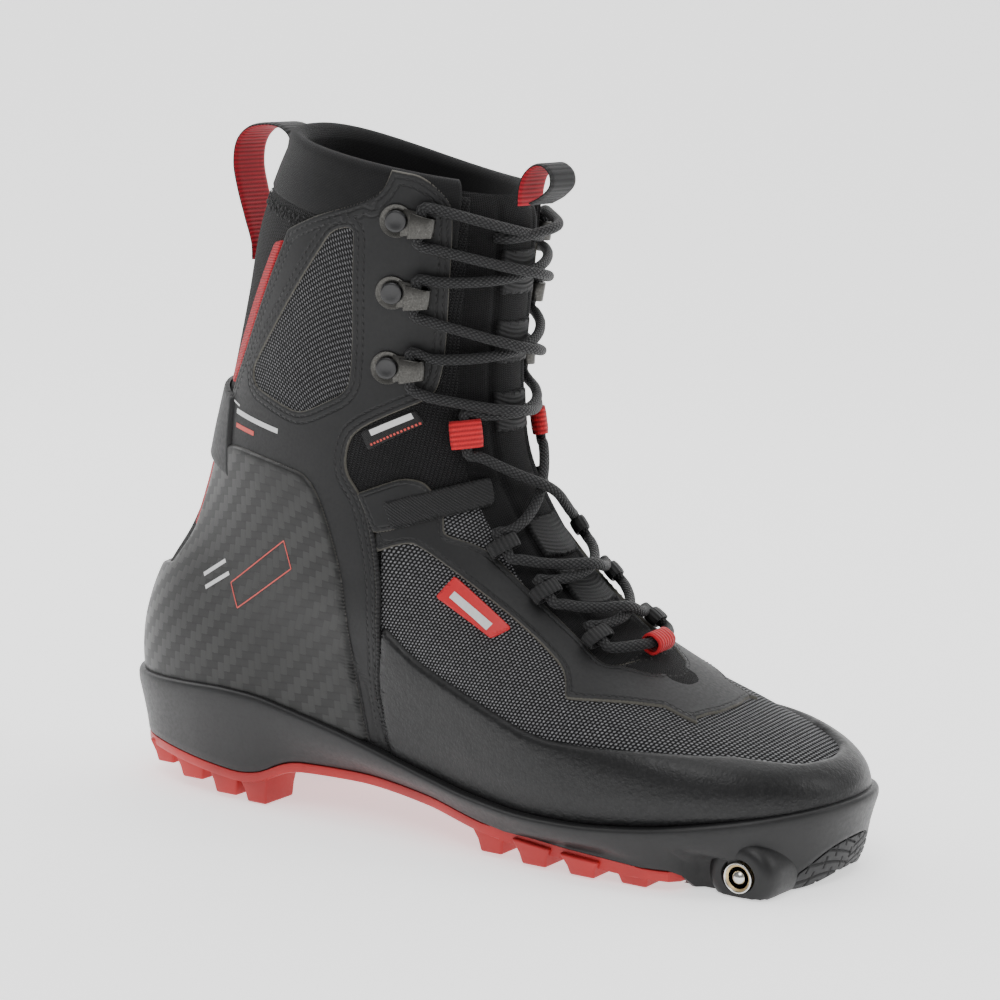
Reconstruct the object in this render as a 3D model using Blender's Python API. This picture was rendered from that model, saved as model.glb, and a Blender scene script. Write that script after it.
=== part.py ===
"""Backcountry cross country boot, right foot, with a sprung two-pin toe block.

+X points to the toe, -Y to the outer side and +Z up. The origin is under the middle of the boot, on the
ground. Shapes are worked out in millimetres and written to the meshes in metres.
"""

import functools
import math

import bmesh
import bpy
import numpy as np

MM = 0.001

# Overall sizes. Stations and outlines below are drawn for DRAWN_LENGTH and DRAWN_HEIGHT, and stretch with
# these two; walls, fits and hardware keep their own sizes.
BOOT_LENGTH = 300.0
COLLAR_HEIGHT = 253.0
DRAWN_LENGTH = 300.0
DRAWN_HEIGHT = 253.0
SOLE_TOP = 19.0

# Clearances
SEAM_GAP = 0.3
SLIDE_GAP = 0.3
EDGE_GAP = 0.45
RAND_GAP = 0.9

# Layers, as distances out from the softshell's outer face
SOFTSHELL_WALL = 2.2
LINING_WALL = 3.2
SMOOTH_OVERLAY = 1.0
MESH_PANEL = 0.6
RAND_WALL = 1.6
COUNTER_WALL = 2.4
STAY_WALL = 2.0
PIPING_WALL = 1.5
TONGUE_PAD = 0.0
COLLAR_ROLL = 0.0
STRAP_WALL = 1.1

# Cup sole
LIP_REACH = 4.8
OUTSOLE_WALL = 3.6
SHANK_SIZE = (96.0, 20.0, 1.6)
BOARD_WALL = 1.4
FOOTBED_WALL = 3.0

# Toe block and its pins
PIN_X = 127.0
PIN_Z = 6.8
PIN_REACH = 33.9
PIN_RADIUS = 2.9
PIN_TAIL = 25.4
BUSH_RADIUS = 5.1
BUSH_FACE = 33.1
BUSH_FLOOR = 20.0
BUSH_WALL = 1.9
BUSH_MOUTH = 4.4
BUSH_MOUTH_DEPTH = 1.4
SPRING_WIRE = 0.3
SPRING_TURNS = 3.5
BLOCK_TOP = 17.0
BLOCK_BACK = 106.4
BOSS_FACE = 33.0

# Lacing
LACE_RADIUS = 1.8
LACE_SPRINGING = 3.0
HOOK_PLATE = 1.1
HOOK_WIDTH = 8.4
HOOK_DISC_RADIUS = 5.8
HOOK_ARM = 13.0
HOOK_LIP = 5.5
HARDWARE_SEAT = 0.9
RIVET_RADIUS = 3.9
RIVET_HEIGHT = 1.5
LOOP_WALL = 0.9
LOOP_LENGTH = 12.0
LOOP_WIDTH = 5.0
RED_LOOP_WIDTH = 10.0
LACE_RUN = 2.6 * LACE_RADIUS
TOE_TAB_WIDTH = 10.0
TOE_TAB_LENGTH = 2 * LACE_RADIUS + 2.8
TOE_TAB_ROOM = 0.6
TOE_TAB_SEAT = 0.9

# Pull loops
HEEL_STRAP_WIDTH = 18.0
TONGUE_STRAP_WIDTH = 16.0
STRAP_THICKNESS = 1.6

# The softshell's outer face is a stack of eleven tilted rings. Each row holds the height and the X of the
# ring's back and front, its half-width at six stations from back to front, how far its toe leans to the
# inner side, and how far its inner side dips.
RING_STATIONS = (0.0, 0.25, 0.5, 0.65, 0.83, 1.0)
RINGS = (
    (24, 19, -146, 143, 66, 45, 36, 52, 66, 74, 8, 0),
    (40, 28, -152, 148, 70, 48, 38, 54, 69, 77, 9, 0),
    (60, 39, -152, 142, 67, 47, 39, 54, 67, 75, 8, 0),
    (80, 47, -145, 121, 59, 45, 40, 51, 62, 66, 7, 0),
    (100, 56, -131, 96, 52, 44, 41, 46, 55, 60, 5, 0),
    (120, 73, -121, 65, 47, 43, 40, 41, 46, 49, 3, 0),
    (142, 99, -114, 37, 44, 42, 40, 39, 41, 42, 1, 0),
    (166, 130, -106, 17, 42, 41, 41, 40, 40, 38, 0, 0),
    (192, 162, -98, 12, 43, 42, 42, 41, 39, 36, 0, 1),
    (222, 197, -89, 15, 45, 44, 44, 43, 41, 38, 0, 4),
    (253, 233, -71, 17, 46, 45, 44, 43, 41, 39, 0, 8),
)

# The shell layers share one grid, so that layers at different distances can't meet.
COLUMNS = 24
ROWS = (0, 0.06, 0.13, 0.2, 0.28, 0.36, 0.44, 0.53, 0.625, 0.71, 0.795, 0.88, 0.955, 1.0)
BACK_PANEL = 0.16
QUARTER_FRONT = 0.5
TONGUE_EDGE = 0.83
LIP_ROW = 0.1
THROAT_ROW = 0.44
ANKLE_ROW = 0.625
COLLAR_ROW = 0.955

# Side profiles of the sole, as (X, Z)
LIP_LINE = ((-157, 41), (-131, 42), (-94, 44), (-74, 43), (-55, 39), (-37, 35), (-21, 31), (0, 26), (21, 22),
            (47, 19.5), (75, 19.5), (99, 21.5), (115, 24), (135, 27), (157, 31))
SOLE_LINE = ((-157, 17), (-131, 16.3), (-107, 13.8), (-86, 11.8), (-76, 13.2), (-69, 17.0), (-62, 19.2),
             (-48, 19.0), (-30, 18.6), (5, 16.2), (27, 12.8), (64, 9.2), (97, 7.4), (112, 7.0), (157, 7.0))
GROUND_LINE = ((-157, 9.0), (-137, 6.2), (-118, 4.2), (-98, 1.6), (-90, 0.0), (-60, 0.0), (20, 1.4),
               (50, 0.7), (75, 0.3), (84, 0.0), (160, 0.0))

# Outlines in side view, as (X, Z). Two stations lie past the ends of the boot, and two are the feet of the
# edges on either side of the strip between the counter and the rand.
PAST_HEEL = -175
PAST_TOE = 165
COUNTER_FOOT = -21.5
RAND_FOOT = -12.5
CUFF = ((-9, 240), (4, 232), (6, 226), (3.5, 194), (-1, 161), (-3, 158), (-27, 147), (-31, 141), (-32, 131),
        (-25, 123), (-20, 106), (-17, 89), (-16.6, 71), (-18.5, 52), (-13, 30), (-20.6, 31.8), (-25.5, 42),
        (-28.5, 60), (-30.5, 89), (-39.5, 116), (-45.5, 127.4), (-53, 131.6), (-89, 136.6), (-99.5, 133),
        (-104, 134), (-98, 145), (-92, 158), (-84, 170), (-72, 190), (-56.5, 211), (-57, 215), (-39, 223),
        (-14, 232))
WINDOW = ((-25, 217), (-33, 217), (-38, 211), (-55, 191), (-77, 165), (-76, 159), (-53, 152), (-47, 153),
          (-32, 160), (-29, 167))
PIPING = ((-57.2, 211.6), (-72.7, 190.2), (-84.7, 170.3), (-92.5, 158.5), (-95.6, 158.5), (-87.8, 170),
          (-75.7, 190.2), (-60, 212))
STAY = ((-180, 129.5), (-107, 129.5), (-104.6, 134.5), (-98.8, 145), (-93, 157.5), (-180, 157.5))
COUNTER_BACK = ((PAST_HEEL, 85), (-137, 86), (-121, 99), (-110.5, 124), (-100, 132))
COUNTER_FRONT = ((-89, 136), (-53, 131), (-46, 127), (-40, 116), (-31, 89), (-29, 60), (-26, 42))
RAND_BACK = ((-18, 52), (-16.1, 70.5), (-14, 76))
RAND_TOP = ((-2, 68), (12, 62), (37, 53), (54, 47.5), (73, 46.5), (93, 46.5), (125, 44), (138, 41),
            (PAST_TOE, 41))
YOKE = ((-18.8, 105), (-8, 107.5), (-2, 106.5), (33, 84), (57, 67), (61, 59.5), (77, 58.5), (90, 56.5),
        (86, 80), (70, 82), (69, 67.5), (63, 69.5), (39, 88), (18, 107), (4, 111), (6, 118), (-4, 118))
ANKLE_STRAP = ((-16, 121), (13, 129), (15, 121), (-12, 112))
BLOCK_SIDE = ((BLOCK_BACK, 0), (122, 0), (137.4, 4.2), (153.6, BLOCK_TOP), (BLOCK_BACK, BLOCK_TOP))
TREAD_SIDE = ((138.2, 4.2), (144, 5.4), (149, 8.2), (153, 12), (158, 17), (154.4, 17))
BLOCK_PLAN = ((BLOCK_BACK, -29), (116, -29.5), (138, -30.5), (146, -23), (150.5, -10), (152.5, 2), (152.5, 14),
              (149, 25), (142, 31), (116, 31), (BLOCK_BACK, 30))

# Lug centres along the sole as (X, length at the ground, length at the base)
HEEL_LUGS = ((-134, 8, 13), (-115, 10, 16), (-96, 10, 15), (-81, 9, 15))
TOE_LUGS = ((31, 9, 16), (51, 10, 16), (71, 10, 16), (90.5, 10, 16))
LUG_INWARD = 19.0

# Side rows of the lacing as (around, up), from the toe to the collar
LOOP_ROWS = ((0.875, 0.5), (0.845, 0.558), (0.82, 0.612))
RED_LOOP_ROW = (0.83, 0.742)
HOOK_ROWS = ((0.665, 0.8), (0.665, 0.88), (0.655, 0.952))
TOE_TAB_ROW = 0.484
LACE_END = (0.9, 0.948)

# Middle line of the pull loops, as (X, Z)
HEEL_LOOP = ((-98.8, 203), (-97.4, 208), (-102, 219), (-106, 230), (-107.4, 239), (-104, 248), (-96, 252),
             (-87, 252), (-81, 248), (-81.4, 242))
TONGUE_HINGE = (22.5, 225.5)
TONGUE_LOOP = ((20.4, 225.5), (21, 233), (24, 238.5), (29.5, 240.5), (34.5, 237.5), (33, 231.5), (25, 226.5))


def clear_scene():
    for old in list(bpy.data.objects):
        bpy.data.objects.remove(old, do_unlink=True)


def lerp_table(table, x):
    points = np.array(table, float)
    return np.interp(x, points[:, 0], points[:, 1])


def hermite(knots, values, where):
    """Smooth curve through the values, read at each of where."""
    knots = np.asarray(knots, float)
    values = np.asarray(values, float)
    where = np.asarray(where, float)
    widths = np.diff(knots)
    slopes = np.diff(values, axis=0) / widths[:, None]
    tangents = np.empty_like(values)
    tangents[0], tangents[-1] = slopes[0], slopes[-1]
    before, after = widths[:-1, None], widths[1:, None]
    tangents[1:-1] = (slopes[:-1] * after + slopes[1:] * before) / (before + after)
    k = np.clip(np.searchsorted(knots, where, side="right") - 1, 0, len(knots) - 2)
    width = widths[k][:, None]
    s = ((where - knots[k]) / widths[k])[:, None]
    return (
        values[k] * (2 * s**3 - 3 * s**2 + 1)
        + tangents[k] * width * (s**3 - 2 * s**2 + s)
        + values[k + 1] * (3 * s**2 - 2 * s**3)
        + tangents[k + 1] * width * (s**3 - s**2)
    )


def stretch(points):
    """Drawn X and Z to the boot's real length and height, for rows of (X, Z) or of (X, Y, Z)."""
    out = np.array(points, float)
    out[..., 0] *= BOOT_LENGTH / DRAWN_LENGTH
    rise = (COLLAR_HEIGHT - SOLE_TOP) / (DRAWN_HEIGHT - SOLE_TOP)
    z = out[..., -1]
    out[..., -1] = np.where(z > SOLE_TOP, SOLE_TOP + (z - SOLE_TOP) * rise, z)
    return out


def shell_point(around, up):
    """The softshell's outer face. around is 0 at the back and 1 or -1 at the front, negative on the outer
    side; up is 0 at the sole and 1 at the collar."""
    around, up = np.broadcast_arrays(np.asarray(around, float), np.asarray(up, float))
    shape = around.shape
    turn = (around.ravel() + 1) % 2 - 1
    ring = hermite(np.arange(len(RINGS)), RINGS, up.ravel() * (len(RINGS) - 1))
    angle = np.pi * np.abs(turn)
    along = (1 - np.cos(angle)) / 2
    half = np.empty(len(turn))
    for i in range(len(turn)):
        half[i] = hermite(RING_STATIONS, ring[i, 4:10, None], [abs(turn[i])])[0, 0]
    x = ring[:, 2] + (ring[:, 3] - ring[:, 2]) * along
    lean = ring[:, 10] * np.clip((along - 0.45) / 0.55, 0, 1) ** 2
    y = lean + np.sign(turn) * half * np.sin(angle)
    dip = np.where(turn > 0, ring[:, 11], 0) * np.sin(angle) ** 2
    z = ring[:, 0] + (ring[:, 1] - ring[:, 0]) * along - dip
    return stretch(np.stack([x, y, z], -1)).reshape(shape + (3,))


def shell_frame(around, up):
    """(point, outward normal, direction around towards the toe on the side it is on, direction up)."""
    step = 0.004
    here = shell_point(around, up)
    low, high = max(up - step, 0), min(up + step, 1)
    rise = shell_point(around, high) - shell_point(around, low)
    ahead = shell_point(around + step, up) - shell_point(around - step, up)
    normal = unit(np.cross(rise, ahead))
    rise = unit(rise)
    forward = np.cross(rise, normal) * (-1 if around >= 0 else 1)
    return here, normal, forward, rise


def unit(vector):
    return vector / np.linalg.norm(vector)


def grid_normals(around, up):
    step = 0.004
    low = np.clip(up - step, 0, 1)
    high = np.clip(up + step, 0, 1)
    rise = shell_point(around, high) - shell_point(around, low)
    ahead = shell_point(around + step, up) - shell_point(around - step, up)
    normal = np.cross(rise, ahead)
    return normal / np.linalg.norm(normal, axis=-1, keepdims=True)


def to_frame(points):
    """Drawn millimetres to metres, with the origin moved under the middle of the sole."""
    return (np.asarray(points, float) + sole_shift()) * MM


def new_object(name, points, faces):
    """A mesh object from points in millimetres, with its faces turned outwards."""
    mesh = bpy.data.meshes.new(name)
    mesh.from_pydata(to_frame(points).tolist(), [], faces)
    work = bmesh.new()
    work.from_mesh(mesh)
    bmesh.ops.recalc_face_normals(work, faces=work.faces)
    work.to_mesh(mesh)
    work.free()
    made = bpy.data.objects.new(name, mesh)
    bpy.context.scene.collection.objects.link(made)
    return made


def cell_shell(name, keep, inner, outer):
    """One wall of the shell: the grid cells for which keep(around, up) holds at their middle, between two
    distances from the softshell's face. Its rim is drawn in by half of a seam."""
    rows = range(len(ROWS) - 1)
    middle = [(ROWS[j] + ROWS[j + 1]) / 2 for j in rows]
    cells = {
        (k, j)
        for k in range(COLUMNS)
        for j in rows
        if keep(-1 + (2 * k + 1) / COLUMNS, middle[j])
    }
    corners = sorted({((k + a) % COLUMNS, j + b) for k, j in cells for a in (0, 1) for b in (0, 1)})
    index = {corner: i for i, corner in enumerate(corners)}
    around = np.array([-1 + 2 * k / COLUMNS for k, _ in corners])
    up = np.array([ROWS[j] for _, j in corners])
    for i, (k, j) in enumerate(corners):
        touching = [(a, b) for a in (-1, 0) for b in (-1, 0) if ((k + a) % COLUMNS, j + b) in cells]
        if len(touching) == 4:
            continue
        d_around = np.mean([2 * a + 1 for a, _ in touching]) / COLUMNS
        d_up = np.mean([middle[j + b] for _, b in touching]) - up[i]
        here = shell_point(around[i], up[i])
        reach = np.linalg.norm(shell_point(around[i] + d_around, up[i] + d_up) - here)
        around[i] += d_around * SEAM_GAP * 0.75 / reach
        up[i] += d_up * SEAM_GAP * 0.75 / reach
    points = shell_point(around, up)
    normals = grid_normals(around, up)
    count = len(corners)
    faces = []
    for k, j in sorted(cells):
        a, b = index[(k, j)], index[((k + 1) % COLUMNS, j)]
        c, d = index[((k + 1) % COLUMNS, j + 1)], index[(k, j + 1)]
        faces += [(a, b, c), (a, c, d), (a + count, c + count, b + count), (a + count, d + count, c + count)]
        sides = (((k, j - 1), a, b), ((k + 1, j), b, c), ((k, j + 1), c, d), ((k - 1, j), d, a))
        for (near_k, near_j), p, q in sides:
            if (near_k % COLUMNS, near_j) not in cells:
                faces += [(p, p + count, q + count), (p, q + count, q)]
    return new_object(name, np.vstack([points + normals * outer, points + normals * inner]), faces)


def filled_shell(name, offset, low, high, drop=0.0):
    """A solid plug as wide as the shell at that distance, between two heights up."""
    ups = [low] + [r for r in ROWS if low < r < high] + [high]
    around = np.array([-1 + 2 * k / COLUMNS for k in range(COLUMNS)])
    rings = [shell_point(around, np.full(COLUMNS, u)) + grid_normals(around, np.full(COLUMNS, u)) * offset
             for u in ups]
    if drop:
        rings.insert(0, rings[0] - np.array([0, 0, drop]))
    return loft(name, rings)


def loft(name, rings):
    """Closed solid through rings of equally many points, with a fan over each end."""
    count = len(rings[0])
    points = np.vstack(list(rings) + [[rings[0].mean(0)], [rings[-1].mean(0)]])
    faces = []
    for r in range(len(rings) - 1):
        for k in range(count):
            a, b = r * count + k, r * count + (k + 1) % count
            faces += [(a, b, b + count), (a, b + count, a + count)]
    bottom, top = len(points) - 2, len(points) - 1
    last = (len(rings) - 1) * count
    for k in range(count):
        faces.append((k, bottom, (k + 1) % count))
        faces.append((last + k, last + (k + 1) % count, top))
    return new_object(name, points, faces)


def ladder_solid(name, rings):
    """Closed solid through rings whose ends are ruled straight across from side to side."""
    count = len(rings[0])
    points = np.vstack(rings)
    faces = []
    for r in range(len(rings) - 1):
        for k in range(count):
            a, b = r * count + k, r * count + (k + 1) % count
            faces += [(a, b, b + count), (a, b + count, a + count)]
    last = (len(rings) - 1) * count
    for start in (0, last):
        for k in range(count // 2):
            a, b = start + k, start + k + 1
            c, d = start + (count - k - 1) % count, start + (count - k) % count
            if k == 0:
                faces.append((a, b, c))
            elif b == c:
                faces.append((a, b, d))
            else:
                faces += [(a, b, c), (a, c, d)]
    return new_object(name, points, faces)


def prism(name, outline, low, high, plane="xz"):
    """An outline pushed straight through from low to high: a side view along Y or a plan along Z."""
    flat = np.array(outline, float)
    count = len(flat)
    ends = []
    for level in (low, high):
        other = np.full(count, level)
        columns = (flat[:, 0], other, flat[:, 1]) if plane == "xz" else (flat[:, 0], flat[:, 1], other)
        ends.append(np.stack(columns, -1))
    faces = [tuple(range(count)), tuple(range(2 * count - 1, count - 1, -1))]
    faces += [(k, (k + 1) % count, (k + 1) % count + count, k + count) for k in range(count)]
    return new_object(name, np.vstack(ends), faces)


def combine(body, other, operation):
    """body with other cut from it, joined to it or kept in common; other is used up."""
    step = body.modifiers.new(operation, "BOOLEAN")
    step.operation = operation
    step.solver = "EXACT"
    step.object = other
    bpy.context.view_layer.update()
    made = bpy.data.meshes.new_from_object(body.evaluated_get(bpy.context.evaluated_depsgraph_get()))
    body.modifiers.clear()
    old = body.data
    body.data = made
    made.name = body.name
    bpy.data.meshes.remove(old)
    bpy.data.objects.remove(other, do_unlink=True)
    return body


def inset(outline, distance):
    """The outline with every side moved in by a distance."""
    points = np.array(outline, float)
    ahead = np.roll(points, -1, 0) - points
    area = np.sum(points[:, 0] * np.roll(points, -1, 0)[:, 1] - np.roll(points, -1, 0)[:, 0] * points[:, 1])
    side = np.stack([-ahead[:, 1], ahead[:, 0]], -1) * (1 if area > 0 else -1)
    side /= np.linalg.norm(side, axis=1, keepdims=True)
    before = np.roll(side, 1, 0)
    bisector = side + before
    bisector /= np.sum(bisector * side, axis=1, keepdims=True)
    return points + bisector * distance


def coat(made, colour, roughness, metallic=0.0):
    """Gives a piece its own material."""
    material = bpy.data.materials.new(made.name)
    material.use_nodes = True
    shader = material.node_tree.nodes["Principled BSDF"]
    shader.inputs["Base Color"].default_value = (*colour, 1)
    shader.inputs["Roughness"].default_value = roughness
    shader.inputs["Metallic"].default_value = metallic
    made.data.materials.clear()
    made.data.materials.append(material)
    return made


def paint(made, colour, roughness, metallic=0.0, smooth=40.0):
    """Gives a mesh piece its own material, and smooth shading up to an angle."""
    coat(made, colour, roughness, metallic)
    made.data.shade_smooth()
    made.data.set_sharp_from_angle(angle=math.radians(smooth))
    return made


def smooth_black(made):
    return paint(made, (0.022, 0.022, 0.024), 0.55)


def knit_black(made):
    return paint(made, (0.014, 0.014, 0.015), 0.9)


def mesh_grey(made):
    return paint(made, (0.05, 0.05, 0.055), 0.85)


def sole_black(made):
    return paint(made, (0.018, 0.018, 0.019), 0.5)


def webbing_red(made):
    return paint(made, (0.62, 0.02, 0.03), 0.8)


def webbing_black(made):
    return paint(made, (0.015, 0.015, 0.016), 0.85)


def gunmetal(made):
    return paint(made, (0.25, 0.24, 0.22), 0.35, 1.0)


def steel(made):
    return paint(made, (0.6, 0.6, 0.6), 0.2, 1.0)


def sides():
    """(suffix, sign of Y) of the outer and the inner side."""
    return (("lateral", -1), ("medial", 1))


# The sole

def sole_plan():
    """The foot's outline at the lip and its outward directions, from above."""
    around = np.array([-1 + 2 * k / COLUMNS for k in range(COLUMNS)])
    ring = shell_point(around, np.full(COLUMNS, LIP_ROW))[:, :2]
    ahead = np.roll(ring, -1, 0) - np.roll(ring, 1, 0)
    out = np.stack([-ahead[:, 1], ahead[:, 0]], -1)
    return ring, out / np.linalg.norm(out, axis=1, keepdims=True)


def sole_ring(reach, height):
    """One ring of the sole: reach(x) out from the plan, at height(x)."""
    ring, out = sole_plan()
    moved = ring + out * reach(ring[:, 0])[:, None]
    return np.column_stack([moved, height(ring[:, 0])])


@functools.cache
def sole_shift():
    """From the drawing's origin to the middle of the lip's bounds."""
    ring, out = sole_plan()
    lip = ring + out * LIP_REACH
    middle = (lip.min(0) + lip.max(0)) / 2
    return np.array([-middle[0], -middle[1], 0.0])


def waist(x, least):
    """Extra draw-in of the sole's side under the arch."""
    drawn = x * DRAWN_LENGTH / BOOT_LENGTH
    return least * np.exp(-(((drawn + 30) / 38) ** 2))


def line_height(line):
    return lambda x: lerp_table(stretch(line), x)


def sole_half_width(x, side):
    """Y of the plan's edge at X on one side."""
    ring, _ = sole_plan()
    half = ring[ring[:, 1] * side >= -1e-6]
    half = half[np.argsort(half[:, 0])]
    return np.interp(x, half[:, 0], half[:, 1])


def make_midsole():
    lip, low = line_height(LIP_LINE), line_height(SOLE_LINE)

    def between(share):
        return lambda x: low(x) + (lip(x) - low(x)) * share

    rings = [
        sole_ring(lambda x: 1.2 - waist(x, 6.0), between(0)),
        sole_ring(lambda x: 2.6 - waist(x, 2.5), between(0.4)),
        sole_ring(lambda x: np.full(len(x), LIP_REACH), between(0.88)),
        sole_ring(lambda x: np.full(len(x), LIP_REACH - 0.5), between(1.0)),
    ]
    body = ladder_solid("midsole", rings)
    hollow = filled_shell("hollow", EDGE_GAP, 0.0, 0.36, drop=EDGE_GAP)
    combine(body, hollow, "DIFFERENCE")
    notch = stretch(((BLOCK_BACK - SEAM_GAP, -9), (190, -9), (190, BLOCK_TOP + SEAM_GAP),
                     (BLOCK_BACK - SEAM_GAP, BLOCK_TOP + SEAM_GAP)))
    combine(body, prism("notch", notch, -90, 90), "DIFFERENCE")
    length, width, wall = SHANK_SIZE
    pocket = shank_solid("pocket", length + 2 * SEAM_GAP, width + 2 * SEAM_GAP, wall + SEAM_GAP, 1.0)
    combine(body, pocket, "DIFFERENCE")
    return sole_black(body)


def shank_solid(name, length, width, wall, above):
    """A plate under the arch, let into the midsole's floor; above is how far it stands over the floor."""
    middle = stretch([[-30.0, 0.0, 0.0]])[0, 0]
    ends = shell_point(np.array([0.0, 1.0]), np.zeros(2))
    slope = (ends[1, 2] - ends[0, 2]) / (ends[1, 0] - ends[0, 0])

    def floor(x):
        return ends[0, 2] + slope * (x - ends[0, 0]) - EDGE_GAP

    corners = [(middle + sx * length / 2, sy * width / 2) for sx, sy in ((-1, -1), (1, -1), (1, 1), (-1, 1))]
    low = [(x, y, floor(x) - wall) for x, y in corners]
    high = [(x, y, floor(x) + above) for x, y in corners]
    return loft(name, [np.array(low), np.array(high)])


def make_shank():
    length, width, wall = SHANK_SIZE
    return steel(shank_solid("shank", length, width, wall, 0.0))


def make_insole_board():
    around = np.array([-1 + 2 * k / COLUMNS for k in range(COLUMNS)])
    ring = shell_point(around, np.zeros(COLUMNS))
    ring += grid_normals(around, np.zeros(COLUMNS)) * np.array([1, 1, 0]) * -(SOFTSHELL_WALL + 2 * SEAM_GAP)
    low = ring + np.array([0, 0, SEAM_GAP])
    return paint(loft("insole_board", [low, low + np.array([0, 0, BOARD_WALL])]), (0.35, 0.3, 0.22), 0.8)


def make_footbed():
    around = np.array([-1 + 2 * k / COLUMNS for k in range(COLUMNS)])
    inward = SOFTSHELL_WALL + LINING_WALL + 4 * SEAM_GAP
    ring = shell_point(around, np.zeros(COLUMNS))
    ring -= grid_normals(around, np.zeros(COLUMNS)) * np.array([1, 1, 0]) * inward
    low = ring + np.array([0, 0, BOARD_WALL + 3 * SEAM_GAP])
    return paint(loft("footbed", [low, low + np.array([0, 0, FOOTBED_WALL])]), (0.08, 0.08, 0.09), 0.9)


def lug(x, side, ground, base, centre):
    """A tapered lug at X. On a side it follows the sole's edge; a centre lug sits on the middle line."""
    mid_x = stretch([[x, 0, 0]])[0, 0]
    edge = sole_half_width(mid_x, side or -1) - side * 1.0
    if centre:
        spans = ((-7.5, 7.5), (-9.5, 9.5))
    else:
        inner = edge - side * LUG_INWARD
        spans = (sorted((edge, inner + side * 1.5)), sorted((edge - side * 0.2, inner)))
    low = float(lerp_table(stretch(GROUND_LINE), mid_x))
    rings = []
    for length, (left, right), ends in ((ground, spans[0], "low"), (base, spans[1], "high")):
        ring = []
        for sx, y in ((-1, left), (1, left), (1, right), (-1, right)):
            at = mid_x + sx * length / 2
            top = float(lerp_table(stretch(SOLE_LINE), at)) - OUTSOLE_WALL * 0.5
            ring.append((at, y, low if ends == "low" else top))
        rings.append(np.array(ring))
    return loft("lug", rings)


def make_outsole():
    line = line_height(SOLE_LINE)
    top = [
        sole_ring(lambda x: 0.6 - waist(x, 6.4), lambda x: line(x) - SEAM_GAP - OUTSOLE_WALL),
        sole_ring(lambda x: 1.0 - waist(x, 6.0), lambda x: line(x) - SEAM_GAP),
    ]
    body = ladder_solid("outsole", top)
    front = stretch(((BLOCK_BACK - SEAM_GAP, -9), (190, -9), (190, 30), (BLOCK_BACK - SEAM_GAP, 30)))
    combine(body, prism("front", front, -90, 90), "DIFFERENCE")
    for x, ground, base in HEEL_LUGS + TOE_LUGS:
        for side in (-1, 1):
            combine(body, lug(x, side, ground, base, False), "UNION")
        if x > 0:
            combine(body, lug(x - 8, 0, ground - 2, base - 4, True), "UNION")
    return paint(body, (0.45, 0.045, 0.035), 0.55)


def turned(name, profile, side, segments=20, wide=1.0, lift=0.0):
    """A solid turned about a pin's axis, closed over both ends. The profile is (distance out from the middle
    plane, radius); wide draws it out along the boot and lift raises it."""
    rings = []
    for reach, radius in profile:
        turn = np.linspace(0, 2 * math.pi, segments, endpoint=False)
        x, z = stretch([[PIN_X, 0, 0]])[0, 0], PIN_Z
        rings.append(np.stack([x + wide * radius * np.cos(turn), np.full(segments, side * reach),
                               z + lift + radius * np.sin(turn)], -1))
    return loft(name, rings)


def make_bush(suffix, side):
    bore = PIN_RADIUS + SLIDE_GAP
    profile = [
        (BUSH_FLOOR - BUSH_WALL, BUSH_RADIUS),
        (BUSH_FACE, BUSH_RADIUS),
        (BUSH_FACE, BUSH_MOUTH),
        (BUSH_FACE - BUSH_MOUTH_DEPTH, bore),
        (BUSH_FLOOR, bore),
    ]
    return steel(turned("pin_bush_" + suffix, profile, side))


def make_pin(suffix, side):
    ball = [
        (PIN_REACH - PIN_RADIUS + PIN_RADIUS * math.sin(a), PIN_RADIUS * math.cos(a))
        for a in np.radians((0, 20, 40, 60, 80))
    ]
    return steel(turned("pin_" + suffix, [(PIN_TAIL, PIN_RADIUS)] + ball, side))


def make_spring(suffix, side):
    """A coil between the bush's floor and the pin's tail."""
    start = BUSH_FLOOR + SEAM_GAP + SPRING_WIRE
    length = PIN_TAIL - SEAM_GAP - SPRING_WIRE - start
    radius = PIN_RADIUS - SPRING_WIRE - SLIDE_GAP
    steps = int(SPRING_TURNS * 10)
    pin_x = stretch([[PIN_X, 0, 0]])[0, 0]
    rings = []
    for i in range(steps + 1):
        turn = 2 * math.pi * SPRING_TURNS * i / steps
        out = np.array([math.cos(turn), 0, math.sin(turn)])
        middle = np.array([pin_x, side * (start + length * i / steps), PIN_Z]) + out * radius
        rings.append([middle + SPRING_WIRE * (out * math.cos(a) + np.array([0, side, 0]) * math.sin(a))
                      for a in np.linspace(0, 2 * math.pi, 5, endpoint=False)])
    return steel(loft("pin_spring_" + suffix, np.array(rings)))


def make_binding_block():
    plan = stretch([(x, y, 0) for x, y in BLOCK_PLAN])[:, :2]
    body = prism("binding_block", plan, -1, BLOCK_TOP + 1, plane="xy")
    for _, side in sides():
        outline = [(BOSS_FACE - 15, 11.5), (BOSS_FACE - 2.2, 10.6), (BOSS_FACE, 8.2)]
        combine(body, turned("boss", outline, side, 24, 1.05, 1.2), "UNION")
    combine(body, prism("side", stretch(BLOCK_SIDE), -60, 60), "INTERSECT")
    for _, side in sides():
        reach = BUSH_FLOOR - BUSH_WALL - SEAM_GAP
        bore = turned("bore", [(reach, BUSH_RADIUS + SEAM_GAP), (60, BUSH_RADIUS + SEAM_GAP)], side)
        combine(body, bore, "DIFFERENCE")
    return sole_black(body)


def make_toe_tread():
    plan = stretch([(x, y, 0) for x, y in BLOCK_PLAN])[:, :2]
    body = prism("toe_tread", plan, -1, BLOCK_TOP + 1, plane="xy")
    combine(body, prism("side", stretch(TREAD_SIDE), -60, 60), "INTERSECT")
    return paint(body, (0.07, 0.068, 0.065), 0.7)


# The upper

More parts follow.
